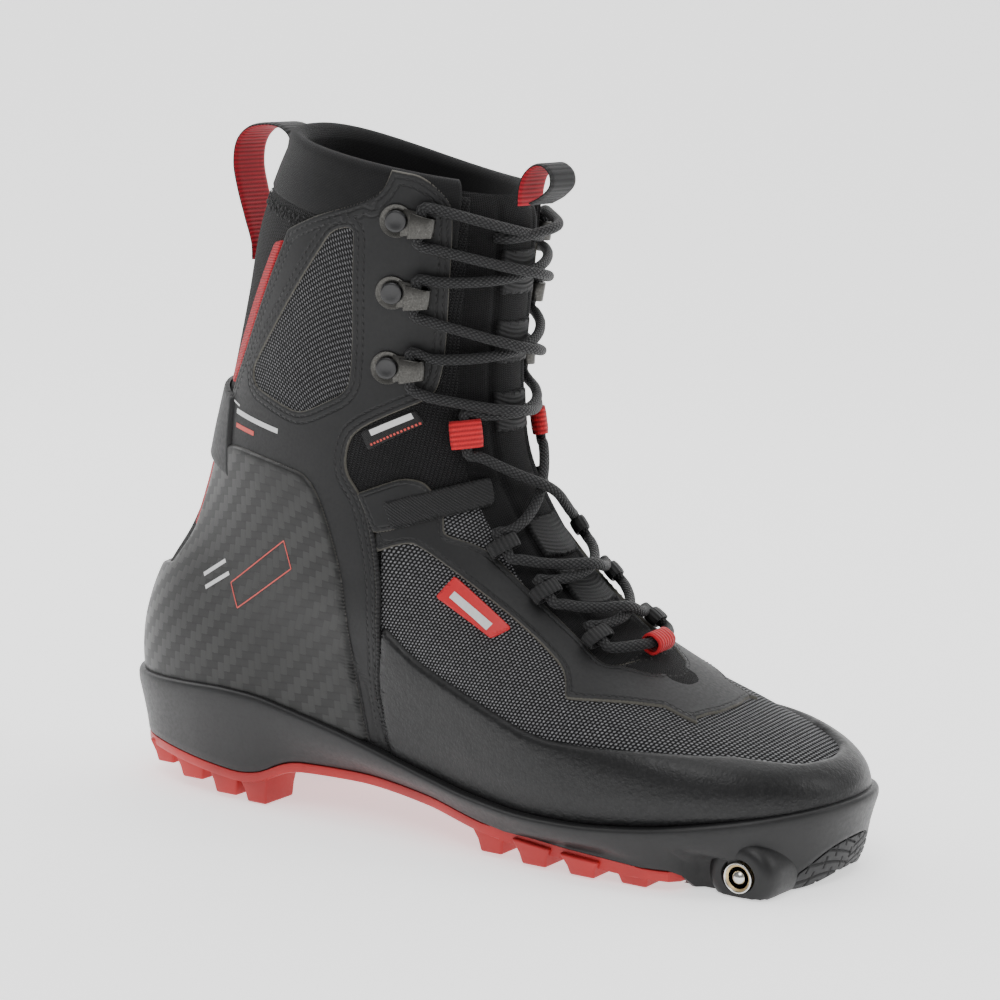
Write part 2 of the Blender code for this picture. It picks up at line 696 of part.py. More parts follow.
def make_softshell():
    wall = -SOFTSHELL_WALL
    knit_or_mesh = {
        "vamp": (mesh_grey, lambda t, v: (abs(t) > QUARTER_FRONT and v < THROAT_ROW)
                 or (QUARTER_FRONT < abs(t) < TONGUE_EDGE and v < ANKLE_ROW)),
        "quarter_lateral": (knit_black, lambda t, v: -QUARTER_FRONT < t < -BACK_PANEL and v < ANKLE_ROW),
        "quarter_medial": (knit_black, lambda t, v: BACK_PANEL < t < QUARTER_FRONT and v < ANKLE_ROW),
        "heel_panel": (knit_black, lambda t, v: abs(t) < BACK_PANEL and v < ANKLE_ROW),
        "shaft_lateral": (knit_black, lambda t, v: -TONGUE_EDGE < t < -BACK_PANEL and ANKLE_ROW < v < COLLAR_ROW),
        "shaft_medial": (knit_black, lambda t, v: BACK_PANEL < t < TONGUE_EDGE and ANKLE_ROW < v < COLLAR_ROW),
        "back_panel": (knit_black, lambda t, v: abs(t) < BACK_PANEL and ANKLE_ROW < v < COLLAR_ROW),
    }
    for name, (finish, keep) in knit_or_mesh.items():
        finish(cell_shell(name, keep, wall, 0.0))


def make_tongue():
    def keep(t, v):
        return abs(t) > TONGUE_EDGE and v > THROAT_ROW

    return knit_black(cell_shell("tongue", keep, -SOFTSHELL_WALL, TONGUE_PAD))


def make_lining():
    inner = -(SOFTSHELL_WALL + SEAM_GAP + LINING_WALL)
    outer = -(SOFTSHELL_WALL + SEAM_GAP)
    body = cell_shell("lining", lambda t, v: 0.05 < v < COLLAR_ROW, inner, outer)
    return paint(body, (0.03, 0.03, 0.032), 0.95)


def make_collar():
    inner = -(SOFTSHELL_WALL + SEAM_GAP + LINING_WALL)
    body = cell_shell("collar_binding", lambda t, v: abs(t) < TONGUE_EDGE and v > COLLAR_ROW, inner, COLLAR_ROLL)
    return smooth_black(body)


def skin(name, wall, keep, outlines, y_range, lift=SEAM_GAP):
    """A panel on the softshell: shell cells cut to a side-view outline. A second outline is cut out of it."""
    body = cell_shell(name, keep, lift, lift + wall)
    low, high = y_range
    combine(body, prism("outline", stretch(outlines[0]), low, high), "INTERSECT")
    for hole in outlines[1:]:
        combine(body, prism("hole", stretch(hole), low, high), "DIFFERENCE")
    return body


def side_range(side):
    return (-120, -1) if side < 0 else (1, 120)


def make_cuff(suffix, side):
    def keep(t, v):
        return t * side > 0.12 and abs(t) < TONGUE_EDGE

    body = skin("cuff_overlay_" + suffix, SMOOTH_OVERLAY, keep, (CUFF, WINDOW), side_range(side))
    window = skin("window_mesh_" + suffix, MESH_PANEL, keep, (inset(WINDOW, EDGE_GAP),), side_range(side))
    strip = skin("piping_" + suffix, PIPING_WALL, lambda t, v: 0.06 < t * side < 0.6, (PIPING,), side_range(side))
    smooth_black(body)
    mesh_grey(window)
    webbing_red(strip)


def lip_above(low_x, high_x, gap):
    """The lip's line between two stations, lifted by a gap."""
    inside = [p for p in LIP_LINE if low_x < p[0] < high_x]
    ends = [(x, float(lerp_table(LIP_LINE, x))) for x in (low_x, high_x)]
    return [(x, z + gap) for x, z in [ends[0]] + inside + [ends[1]]]


def make_counter():
    bottom = lip_above(PAST_HEEL, COUNTER_FOOT, EDGE_GAP)
    outline = list(COUNTER_BACK) + list(COUNTER_FRONT) + bottom[::-1]
    body = skin("heel_counter", COUNTER_WALL, lambda t, v: abs(t) < 0.55 and v < 0.65, (outline,), (-120, 120))
    return paint(body, (0.045, 0.045, 0.048), 0.35)


def make_rand():
    bottom = lip_above(RAND_FOOT, PAST_TOE, RAND_GAP)
    outline = list(RAND_BACK) + list(RAND_TOP) + bottom[::-1]
    body = skin("toe_rand", RAND_WALL, lambda t, v: abs(t) > 0.4 and v < 0.5, (outline,), (-120, 120))
    return paint(body, (0.016, 0.016, 0.017), 0.35)


def make_yoke():
    def keep(t, v):
        return abs(t) > 0.4 and 0.3 < v < 0.7

    return smooth_black(skin("eyestay_yoke", SMOOTH_OVERLAY, keep, (YOKE,), (-120, 120)))


def make_stay():
    body = skin("back_stay", STAY_WALL, lambda t, v: abs(t) < 0.32, (STAY,), (-60, 60))
    return paint(body, (0.02, 0.02, 0.021), 0.6)


def make_ankle_strap(suffix, side):
    def keep(t, v):
        return t * side > 0.45 and 0.5 < v < 0.76

    lift = SMOOTH_OVERLAY + 2 * SEAM_GAP
    body = skin("ankle_strap_" + suffix, STRAP_WALL, keep, (ANKLE_STRAP,), side_range(side), lift)
    return webbing_black(body)


# Lacing

def place(around, up, flat):
    """Points (forward, up, out) in millimetres from the softshell's face, in the boot's frame."""
    here, normal, forward, rise = shell_frame(around, up)
    flat = np.asarray(flat, float)
    return here + flat[:, 0:1] * forward + flat[:, 1:2] * rise + flat[:, 2:3] * normal


def ring_solid(name, outer, inner):
    """A sleeve between an outer and an inner ring outline, each a list of near points and far points."""
    count = len(outer[0])
    points = np.vstack([outer[0], outer[1], inner[0], inner[1]])
    faces = []
    for k in range(count):
        n = (k + 1) % count
        o0, o1, i0, i1 = 0, count, 2 * count, 3 * count
        faces += [(o0 + k, o0 + n, o1 + n, o1 + k), (i0 + k, i1 + k, i1 + n, i0 + n)]
        faces += [(o0 + k, i0 + k, i0 + n, o0 + n), (o1 + k, o1 + n, i1 + n, i1 + k)]
    return new_object(name, points, faces)


def loop_profile(half_length, half_height, corners=12):
    """A flattened ring: (forward, out) pairs."""
    turns = np.linspace(0, 2 * math.pi, corners, endpoint=False) + math.pi / corners
    stretch_out = 2.4
    return [(half_length * np.sign(math.cos(a)) * abs(math.cos(a)) ** (2 / stretch_out),
             half_height * np.sign(math.sin(a)) * abs(math.sin(a)) ** (2 / stretch_out)) for a in turns]


def lace_level(floor):
    """Distance of the lace's middle line from the face, where it rests over floor with room to bend."""
    return floor + SEAM_GAP + LACE_RADIUS + LACE_SPRINGING


def loop_floor():
    return SMOOTH_OVERLAY + HARDWARE_SEAT + LOOP_WALL


def make_lace_loop(name, around, up, width, finish):
    """A webbing loop that holds the lace along the boot's side."""
    high = LACE_RADIUS + SLIDE_GAP
    middle = loop_floor() + high
    outer, inner = [], []
    for half in (-width / 2, width / 2):
        for rings, extra in ((outer, LOOP_WALL), (inner, 0.0)):
            profile = loop_profile(LOOP_LENGTH / 2 - LOOP_WALL + extra, high + extra)
            rings.append(place(around, up, [(a, half, middle + b) for a, b in profile]))
    return finish(ring_solid(name, outer, inner))


def hook_profile():
    """Side section of a hook as (forward, out): a plate that folds back over itself."""
    base = SMOOTH_OVERLAY + HARDWARE_SEAT
    inside = LACE_RADIUS + SLIDE_GAP
    turn_x = HOOK_ARM - inside
    middle = base + HOOK_PLATE + inside
    turn = [math.radians(a) for a in (-90, -54, -18, 18, 54, 90)]
    outer = [(turn_x + (inside + HOOK_PLATE) * math.cos(a), middle + (inside + HOOK_PLATE) * math.sin(a))
             for a in turn]
    inner = [(turn_x + inside * math.cos(a), middle + inside * math.sin(a)) for a in reversed(turn)]
    tip = turn_x - HOOK_LIP
    return ([(0, base)] + outer + [(tip, middle + inside + HOOK_PLATE), (tip, middle + inside)]
            + inner + [(0, base + HOOK_PLATE)])


def make_hook(number, suffix, side, around, up):
    profile = hook_profile()
    rings = [place(side * around, up, [(a, half, b) for a, b in profile])
             for half in (-HOOK_WIDTH / 2, HOOK_WIDTH / 2)]
    name = f"hook_{number}_{suffix}"
    count = len(profile)
    faces = [tuple(range(count)), tuple(range(2 * count - 1, count - 1, -1))]
    faces += [(k, (k + 1) % count, (k + 1) % count + count, k + count) for k in range(count)]
    body = new_object(name, np.vstack(rings), faces)
    base = SMOOTH_OVERLAY + HARDWARE_SEAT
    turns = np.linspace(0, 2 * math.pi, 16, endpoint=False)
    disc = [place(side * around, up, [(HOOK_DISC_RADIUS * math.cos(a), HOOK_DISC_RADIUS * math.sin(a), level)
                                      for a in turns]) for level in (base - 0.02, base + HOOK_PLATE + 0.02)]
    gunmetal(combine(body, loft("disc", disc), "UNION"))
    low = base + HOOK_PLATE + SEAM_GAP
    head = [(RIVET_RADIUS, low), (RIVET_RADIUS, low + RIVET_HEIGHT * 0.6), (RIVET_RADIUS * 0.7, low + RIVET_HEIGHT)]
    rings = [place(side * around, up, [(r * math.cos(a), r * math.sin(a), z) for a in turns[::2] + 0.2])
             for r, z in head]
    return paint(loft(f"rivet_{number}_{suffix}", rings), (0.02, 0.02, 0.02), 0.4, 0.6)


def smooth_path(points, spacing):
    """A smooth curve through the points, read about every spacing millimetres."""
    points = np.array(points, float)
    knots = np.concatenate([[0], np.cumsum(np.linalg.norm(np.diff(points, axis=0), axis=1))])
    count = int(knots[-1] / spacing) + 1
    return hermite(knots, points, np.linspace(0, knots[-1], count))


def lace_rows():
    """Each side row of the lace from toe to collar: its place, and how far forward, out and up and down it
    runs there. The last two numbers are where around and up it leaves, for the crossing that follows."""
    in_loop = loop_floor() + LACE_RADIUS + SLIDE_GAP
    in_hook = SMOOTH_OVERLAY + HARDWARE_SEAT + HOOK_PLATE + LACE_RADIUS + SLIDE_GAP
    forward = HOOK_ARM - LACE_RADIUS - SLIDE_GAP
    held = [(around, up, in_loop, 0.0, LOOP_WIDTH / 2) for around, up in LOOP_ROWS]
    held.append((*RED_LOOP_ROW, in_loop, 0.0, RED_LOOP_WIDTH / 2))
    held += [(around, up, in_hook, forward, HOOK_WIDTH / 2) for around, up in HOOK_ROWS]
    rows = []
    for around, up, out, ahead, width in held:
        step = 0.01
        half = width + LACE_RUN
        across = np.linalg.norm(shell_point(around + step, up) - shell_point(around, up)) / step
        rise = np.linalg.norm(shell_point(around, up + step) - shell_point(around, up)) / step
        rows.append((around, up, ahead, half, out, ahead / across, half / rise))
    return rows


def lace_crossing(start, end, side, over):
    """Points of one strand that crosses the tongue: start and end are (around, up, out), and side is where it
    starts. It leaves and arrives along the boot, and it arches over the other strand or runs under it."""
    level = lace_level(TONGUE_PAD)
    arch = 2 * LACE_RADIUS + SEAM_GAP if over else 0.0
    points = []
    for share in (0.22, 0.4, 0.5, 0.6, 0.78) if over else (0.22, 0.5, 0.78):
        eased = share * share * (3 - 2 * share)
        around = start[0] + (2 - end[0] - start[0]) * eased
        up = start[1] + (end[1] - start[1]) * share
        low = level + (start[2] + (end[2] - start[2]) * share - level) * abs(2 * share - 1) ** 3
        lift = arch * min(1.0, 1.5 * (1 - abs(2 * share - 1)))
        points.append(lace_point(side, around, up, low + lift))
    return points


def lace_point(side, around, up, out):
    here, normal, _, _ = shell_frame(side * around, up)
    return here + normal * out


def lace_strand(side, first_over):
    """One half of the lace, from the toe tab up to where its end tucks in."""
    rows = lace_rows()
    points = []
    for i, (around, up, ahead, half, out, turn, rise) in enumerate(rows):
        points += list(place(side * around, up, [(ahead, -half, out), (ahead, half, out)]))
        over = (i % 2 == 0) == first_over
        leaves = (around + turn, up + rise, out)
        if i + 1 < len(rows):
            around, up, _, _, out, turn, rise = rows[i + 1]
            points += lace_crossing(leaves, (around + turn, up - rise, out), side, over)
        else:
            tucked = (*LACE_END, lace_level(TONGUE_PAD))
            points += lace_crossing(leaves, tucked, side, over)
        side = -side
    points.append(lace_point(side, *tucked))
    return points


def make_lace():
    """The lace as one tube from one tucked end, down through the toe tab and up to the other end."""
    level = loop_floor() + TOE_TAB_SEAT + TOE_TAB_ROOM + LACE_RADIUS + SLIDE_GAP
    tab = [lace_point(1, 1.0 + along, TOE_TAB_ROW, level)
           for along in (-0.045, 0.045)]
    path = lace_strand(1, True)[::-1] + tab + lace_strand(-1, False)
    curve = bpy.data.curves.new("lace", "CURVE")
    curve.dimensions = "3D"
    spline = curve.splines.new("POLY")
    spline.points.add(len(path) - 1)
    for point, at in zip(spline.points, path):
        point.co = (*to_frame(at), 1)
    curve.bevel_depth = LACE_RADIUS * MM
    curve.bevel_resolution = 2
    curve.use_fill_caps = True
    made = bpy.data.objects.new("lace", curve)
    bpy.context.scene.collection.objects.link(made)
    return coat(made, (0.012, 0.012, 0.013), 0.7)


def make_toe_tab():
    """The red webbing tab that the lace runs through in front of the tongue."""
    high = LACE_RADIUS + SLIDE_GAP + TOE_TAB_ROOM
    middle = loop_floor() + TOE_TAB_SEAT + high
    outer, inner = [], []
    for half in (-TOE_TAB_WIDTH / 2, TOE_TAB_WIDTH / 2):
        for rings, extra in ((outer, LOOP_WALL), (inner, 0.0)):
            profile = loop_profile(TOE_TAB_LENGTH / 2 + extra, high + extra)
            rings.append(place(1.0, TOE_TAB_ROW, [(half, a, middle + b) for a, b in profile]))
    return webbing_red(ring_solid("lace_tab_toe", outer, inner))


# Pull loops

def strap_loop(name, middle, width):
    """A webbing strap that follows a middle line in side view, open between its ends."""
    line = smooth_path(stretch(np.insert(np.array(middle, float), 1, 0.0, axis=1)), 5.0)
    rings = []
    for i, at in enumerate(line):
        ahead = unit(line[min(i + 1, len(line) - 1)] - line[max(i - 1, 0)])
        side = np.array([-ahead[2], 0, ahead[0]]) * STRAP_THICKNESS / 2
        half = np.array([0, width / 2, 0])
        rings.append(np.array([at + side + half, at + side - half, at - side - half, at - side + half]))
    return loft(name, rings)


def hang_on_hinge(made, name, point):
    """Gives a moving piece an empty on its hinge line as its parent."""
    hinge = bpy.data.objects.new(name, None)
    bpy.context.scene.collection.objects.link(hinge)
    hinge.location = to_frame(point)
    bpy.context.view_layer.update()
    made.parent = hinge
    made.matrix_parent_inverse = hinge.matrix_world.inverted()


def make_pull_loops():
    heel = webbing_black(strap_loop("heel_loop", HEEL_LOOP, HEEL_STRAP_WIDTH))
    hang_on_hinge(heel, "heel_loop_hinge", stretch([(HEEL_LOOP[0][0], 0, HEEL_LOOP[0][1])])[0])
    front = webbing_black(strap_loop("tongue_loop", TONGUE_LOOP, TONGUE_STRAP_WIDTH))
    hang_on_hinge(front, "tongue_loop_hinge", stretch([(TONGUE_HINGE[0], 0, TONGUE_HINGE[1])])[0])


def make_sole():
    make_midsole()
    make_shank()
    make_insole_board()
    make_footbed()
    make_outsole()
    make_binding_block()
    make_toe_tread()
    for suffix, side in sides():
        make_bush(suffix, side)
        pin = make_pin(suffix, side)
        hang_on_hinge(pin, "pin_axis_" + suffix, stretch([(PIN_X, side * PIN_REACH, PIN_Z)])[0])
        make_spring(suffix, side)


def make_upper():
    make_softshell()
    make_tongue()
    make_lining()
    make_collar()
    for suffix, side in sides():
        make_cuff(suffix, side)
        make_ankle_strap(suffix, side)
    make_counter()
    make_rand()
    make_yoke()
    make_stay()


def make_lacing():
    for suffix, side in sides():
        for number, (around, up) in enumerate(LOOP_ROWS, 1):
            make_lace_loop(f"lace_loop_{number}_{suffix}", side * around, up, LOOP_WIDTH, webbing_black)
        make_lace_loop("lace_loop_red_" + suffix, side * RED_LOOP_ROW[0], RED_LOOP_ROW[1],
                       RED_LOOP_WIDTH, webbing_red)
        for number, (around, up) in enumerate(HOOK_ROWS, 1):
            make_hook(number, suffix, side, around, up)
    make_toe_tab()
    make_lace()


def main():
    clear_scene()
    make_sole()
    make_upper()
    make_lacing()
    make_pull_loops()


main()
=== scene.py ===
import math

import bmesh
import bpy
import numpy as np
from mathutils import Matrix, Vector
from mathutils.geometry import delaunay_2d_cdt


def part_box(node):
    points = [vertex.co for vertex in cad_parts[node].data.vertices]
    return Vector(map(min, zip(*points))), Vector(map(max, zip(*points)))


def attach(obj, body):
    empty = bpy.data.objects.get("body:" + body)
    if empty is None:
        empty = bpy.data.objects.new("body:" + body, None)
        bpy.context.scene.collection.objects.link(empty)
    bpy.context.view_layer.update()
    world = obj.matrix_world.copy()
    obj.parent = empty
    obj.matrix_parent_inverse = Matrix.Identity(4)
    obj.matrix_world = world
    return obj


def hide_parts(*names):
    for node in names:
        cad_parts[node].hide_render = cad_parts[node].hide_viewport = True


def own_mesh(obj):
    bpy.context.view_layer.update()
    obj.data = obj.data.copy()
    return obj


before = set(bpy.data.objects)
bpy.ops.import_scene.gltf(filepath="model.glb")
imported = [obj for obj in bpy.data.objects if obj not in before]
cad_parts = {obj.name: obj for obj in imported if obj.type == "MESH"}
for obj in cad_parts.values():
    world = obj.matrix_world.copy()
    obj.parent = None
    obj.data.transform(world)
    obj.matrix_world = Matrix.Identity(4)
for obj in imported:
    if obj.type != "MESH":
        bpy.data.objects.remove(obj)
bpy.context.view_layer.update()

mm = 0.001
# from the drawing's origin to the middle of the sole
shift = np.array([2.0, -2.678, 0.0])

# the upper's outer face: tilted rings from sole to collar, as in the part
ringStations = np.array([0.0, 0.25, 0.5, 0.65, 0.83, 1.0])
rings = np.array([
    (24, 19, -146, 143, 66, 45, 36, 52, 66, 74, 8, 0),
    (40, 28, -152, 148, 70, 48, 38, 54, 69, 77, 9, 0),
    (60, 39, -152, 142, 67, 47, 39, 54, 67, 75, 8, 0),
    (80, 47, -145, 121, 59, 45, 40, 51, 62, 66, 7, 0),
    (100, 56, -131, 96, 52, 44, 41, 46, 55, 60, 5, 0),
    (120, 73, -121, 65, 47, 43, 40, 41, 46, 49, 3, 0),
    (142, 99, -114, 37, 44, 42, 40, 39, 41, 42, 1, 0),
    (166, 130, -106, 17, 42, 41, 41, 40, 40, 38, 0, 0),
    (192, 162, -98, 12, 43, 42, 42, 41, 39, 36, 0, 1),
    (222, 197, -89, 15, 45, 44, 44, 43, 41, 38, 0, 4),
    (253, 233, -71, 17, 46, 45, 44, 43, 41, 39, 0, 8)], float)


def rowCurve(knots, rows, where):
    # Smooth curve through rows of values, each read at its own place.
    widths = np.diff(knots)
    slopes = np.diff(rows, axis=1) / widths
    tangents = np.empty_like(rows)
    tangents[:, 0] = slopes[:, 0]
    tangents[:, -1] = slopes[:, -1]
    before, after = widths[:-1], widths[1:]
    tangents[:, 1:-1] = (slopes[:, :-1] * after + slopes[:, 1:] * before) / (before + after)
    k = np.clip(np.searchsorted(knots, where, side="right") - 1, 0, len(knots) - 2)
    width = widths[k]
    s = (where - knots[k]) / width
    at = np.arange(len(where))
    a, b = rows[at, k], rows[at, k + 1]
    ta, tb = tangents[at, k], tangents[at, k + 1]
    return (a * (2 * s**3 - 3 * s**2 + 1) + ta * width * (s**3 - 2 * s**2 + s)
            + b * (3 * s**2 - 2 * s**3) + tb * width * (s**3 - s**2))


def face(t, v):
    # Point of the upper's face: t 0 back, 1 or -1 front, negative on the outer side; v 0 sole, 1
    # collar.
    t, v = np.broadcast_arrays(np.asarray(t, float), np.asarray(v, float))
    shape = t.shape
    turn = (t.ravel() + 1) % 2 - 1
    up = v.ravel()
    columns = np.broadcast_to(rings.T[:, None, :], (12, len(up), 11))
    knots = np.arange(11)
    ring = [rowCurve(knots, columns[c], up * 10) for c in range(12)]
    angle = np.pi * np.abs(turn)
    along = (1 - np.cos(angle)) / 2
    half = rowCurve(ringStations, np.stack(ring[4:10], -1), np.abs(turn))
    x = ring[2] + (ring[3] - ring[2]) * along
    lean = ring[10] * np.clip((along - 0.45) / 0.55, 0, 1) ** 2
    y = lean + np.sign(turn) * half * np.sin(angle)
    dip = np.where(turn > 0, ring[11], 0) * np.sin(angle) ** 2
    z = ring[0] + (ring[1] - ring[0]) * along - dip
    return np.stack([x, y, z], -1).reshape(shape + (3,))


def unit(vector):
    return vector / np.maximum(np.linalg.norm(vector, axis=-1, keepdims=True), 1e-9)


def slopes(t, v):
    # The face's change with t and with v.
    step = 0.004
    middle = np.clip(np.asarray(v, float), step, 1 - step)
    rise = (face(t, middle + step) - face(t, middle - step)) / (2 * step)
    ahead = (face(np.asarray(t) + step, v) - face(np.asarray(t) - step, v)) / (2 * step)
    return ahead, rise


def outward(t, v):
    ahead, rise = slopes(t, v)
    return unit(np.cross(rise, ahead))


def lifted(t, v, lift):
    return face(t, v) + outward(t, v) * np.asarray(lift, float)[..., None]


tableT = np.linspace(0.02, 0.98, 97)
tableV = np.linspace(0, 1, 101)
tableGrid = np.stack(np.meshgrid(tableT, tableV, indexing="ij"), -1).reshape(-1, 2)
tablePoints = face(-tableGrid[:, 0], tableGrid[:, 1])


def locate(outline):
    # (t, v) on the outer side of points given in side view as (x, z).
    outline = np.asarray(outline, float)[:, :2]
    gaps = ((outline[:, None, :] - tablePoints[None, :, ::2]) ** 2).sum(-1)
    found = tableGrid[gaps.argmin(1)].copy()
    found[:, 0] *= -1
    for _ in range(8):
        off = outline - face(found[:, 0], found[:, 1])[:, ::2]
        ahead, rise = slopes(found[:, 0], found[:, 1])
        turn = np.stack([ahead[:, ::2], rise[:, ::2]], -1)
        size = np.linalg.det(turn)
        safe = np.abs(size) > 500
        step = np.zeros_like(off)
        step[safe] = np.linalg.solve(turn[safe], off[safe][..., None])[..., 0]
        found += np.clip(step, -0.05, 0.05)
        found[:, 0] = np.clip(found[:, 0], -0.985, -0.01)
        found[:, 1] = np.clip(found[:, 1], 0, 1.0)
    return found


def rounded(outline, closed=True):
    # The outline with each corner rounded. A third number is the corner's radius; without one it is
    # as large as its sides allow.
    points = np.array([p[:2] for p in outline], float)
    radii = [p[2] if len(p) > 2 else 99.0 for p in outline]
    count = len(points)
    out = []
    for i in range(count):
        if not closed and i in (0, count - 1):
            out.append(points[i])
            continue
        before, here, after = points[i - 1], points[i], points[(i + 1) % count]
        back, front = before - here, after - here
        backLength, frontLength = np.linalg.norm(back), np.linalg.norm(front)
        start = here + back / backLength * min(radii[i], backLength * 0.5)
        end = here + front / frontLength * min(radii[i], frontLength * 0.5)
        for s in np.linspace(0, 1, 7):
            out.append(start * (1 - s) ** 2 + here * 2 * s * (1 - s) + end * s**2)
    return np.array(out)


def resampled(points, step, closed=True):
    # Points evenly along a line through 2-D or 3-D points.
    points = np.asarray(points, float)
    if closed:
        points = np.vstack([points, points[:1]])
    lengths = np.linalg.norm(np.diff(points, axis=0), axis=1)
    keep = np.concatenate([[True], lengths > 1e-9])
    points = points[keep]
    run = np.concatenate([[0], np.cumsum(np.linalg.norm(np.diff(points, axis=0), axis=1))])
    count = max(int(round(run[-1] / step)), 3)
    where = np.linspace(0, run[-1], count + 1)
    if closed:
        where = where[:-1]
    return np.stack([np.interp(where, run, points[:, k]) for k in range(points.shape[1])], -1)


def sideOutline(outline, step=1.3):
    # A closed outline in side view, as (t, v) on the outer side.
    return locate(resampled(rounded(outline), step))


def evenly(line, step, closed=True):
    # A line in (t, v) with its points evenly apart on the face.
    line = np.asarray(line, float)
    if closed:
        line = np.vstack([line, line[:1]])
    fine = np.vstack([np.linspace(line[i], line[i + 1], 12, endpoint=False) for i in range(len(line) - 1)]
                     + [line[-1:]])
    solid = face(fine[:, 0], fine[:, 1])
    run = np.concatenate([[0], np.cumsum(np.linalg.norm(np.diff(solid, axis=0), axis=1))])
    count = max(int(round(run[-1] / step)), 3)
    where = np.linspace(0, run[-1], count + 1)
    if closed:
        where = where[:-1]
    return np.stack([np.interp(where, run, fine[:, k]) for k in (0, 1)], -1)


def mirrored(outline):
    # The same outline on the inner side.
    out = np.array(outline, float)
    out[:, 0] *= -1
    return out[::-1]


def isInside(polygon, points):
    x, y = points[:, 0], points[:, 1]
    inside = np.zeros(len(points), bool)
    px, py = polygon[:, 0], polygon[:, 1]
    qx, qy = np.roll(px, -1), np.roll(py, -1)
    for ax, ay, bx, by in zip(px, py, qx, qy):
        if ay == by:
            continue
        crosses = (ay > y) != (by > y)
        inside ^= crosses & (x < (bx - ax) * (y - ay) / (by - ay) + ax)
    return inside


def nearest(points, line):
    # Distance of each point to a closed line of close points.
    out = np.empty(len(points))
    line = np.vstack([line, (line + np.roll(line, -1, 0)) / 2])
    for i in range(0, len(points), 2000):
        part = points[i:i + 2000]
        gaps = ((part[:, None, :] - line[None]) ** 2).sum(-1)
        out[i:i + 2000] = np.sqrt(gaps.min(1))
    return out


def inwards(outline, closed=True):
    # For each point of a line in (t, v), the change in (t, v) for one millimetre to its inner side.
    ahead, rise = slopes(outline[:, 0], outline[:, 1])
    normal = unit(np.cross(rise, ahead))
    solid = face(outline[:, 0], outline[:, 1])
    if closed:
        run = unit(np.roll(solid, -1, 0) - np.roll(solid, 1, 0))
        flat = np.roll(outline, -1, 0) - np.roll(outline, 1, 0)
    else:
        run = unit(np.gradient(solid, axis=0))
        flat = np.gradient(outline, axis=0)
    side = np.cross(normal, run)
    aa, ab, bb = (ahead * ahead).sum(1), (ahead * rise).sum(1), (rise * rise).sum(1)
    sa, sb = (side * ahead).sum(1), (side * rise).sum(1)
    size = aa * bb - ab * ab
    step = np.stack([(sa * bb - sb * ab) / size, (sb * aa - sa * ab) / size], -1)
    area = 1.0
    if closed:
        x, y = outline[:, 0], outline[:, 1]
        area = np.sum(x * np.roll(y, -1) - np.roll(x, -1) * y)
    left = np.stack([-flat[:, 1], flat[:, 0]], -1) * np.sign(area)
    return step * np.where((step * left).sum(1) < 0, -1, 1)[:, None]


def insetLine(outline, distance, closed=True):
    # The line moved in by a distance, as (points, which of them are clear of the other sides).
    moved = outline + inwards(outline, closed) * distance
    gaps = nearest(face(moved[:, 0], moved[:, 1]), face(outline[:, 0], outline[:, 1]))
    return moved, gaps > abs(distance) * 0.93


arcT = np.linspace(-2, 2, 401)
arcV = np.linspace(0, 1, 61)
arcGrid = face(arcT[:, None], arcV[None, :])
arcAround = np.concatenate([np.zeros((1, 61)), np.cumsum(np.linalg.norm(np.diff(arcGrid, axis=0), axis=2),
    0)])
arcUp = np.concatenate([np.zeros((401, 1)), np.cumsum(np.linalg.norm(np.diff(arcGrid, axis=1), axis=2),
    1)], 1)


def readGrid(table, t, v):
    i = (np.clip(t, -2, 2) + 2) * 100
    j = np.clip(v, 0, 1) * 60
    i0 = np.clip(np.floor(i).astype(int), 0, 399)
    j0 = np.clip(np.floor(j).astype(int), 0, 59)
    fi, fj = i - i0, j - j0
    return (table[i0, j0] * (1 - fi) * (1 - fj) + table[i0 + 1, j0] * fi * (1 - fj)
            + table[i0, j0 + 1] * (1 - fi) * fj + table[i0 + 1, j0 + 1] * fi * fj)


def grainOf(t, v, zero):
    # Millimetres along the face, around from t = zero and up from the sole.
    around = readGrid(arcAround, t, v) - readGrid(arcAround, np.full_like(t, zero), v)
    return np.stack([around, readGrid(arcUp, t, v)], -1)


lipLine = ((-157, 41), (-131, 42), (-94, 44), (-74, 43), (-55, 39), (-37, 35), (-21, 31), (0, 26),
(21, 22), (47, 19.5), (75, 19.5),
           (99, 21.5), (115, 24), (135, 27), (157, 31))
lowerLine = ((-157, 17), (-131, 16.3), (-107, 13.8), (-86, 11.8), (-76, 13.2), (-69, 17.0), (-62, 19.2),
    (-48, 19.0),
             (-30, 18.6), (5, 16.2), (27, 12.8), (64, 9.2), (97, 7.4), (112, 7.0), (157, 7.0))
groundLine = ((-157, 9.0), (-137, 6.2), (-118, 4.2), (-98, 1.6), (-90, 0.0), (-60, 0.0), (20, 1.4),
    (50, 0.7), (75, 0.3), (84, 0.0),
              (160, 0.0))

def softLine(line, width=7.0):
    # The line's height with its corners softened.
    line = np.array(line, float)
    fine = np.linspace(-175, 175, 701)
    raw = np.interp(fine, line[:, 0], line[:, 1])
    kernel = np.exp(-(np.arange(-40, 41) * 0.5 / width) ** 2)
    kernel /= kernel.sum()
    padded = np.concatenate([np.full(40, raw[0]), raw, np.full(40, raw[-1])])
    soft = np.convolve(padded, kernel, mode="valid")
    return lambda x: np.interp(x, fine, soft)


lipHeight, soleHeight, groundHeight = softLine(lipLine), softLine(lowerLine, 4.0), softLine(groundLine, 5.0)


def lowRow(t, drop):
    # The (t, v) places that lie drop under the sole's lip.
    rows = np.linspace(-0.09, 0.2, 59)
    found = []
    for place in t:
        column = face(np.full(len(rows), place), rows)
        found.append(np.interp(0.0, column[:, 2] - lipHeight(column[:, 0]) + drop, rows))
    return np.column_stack([t, found])


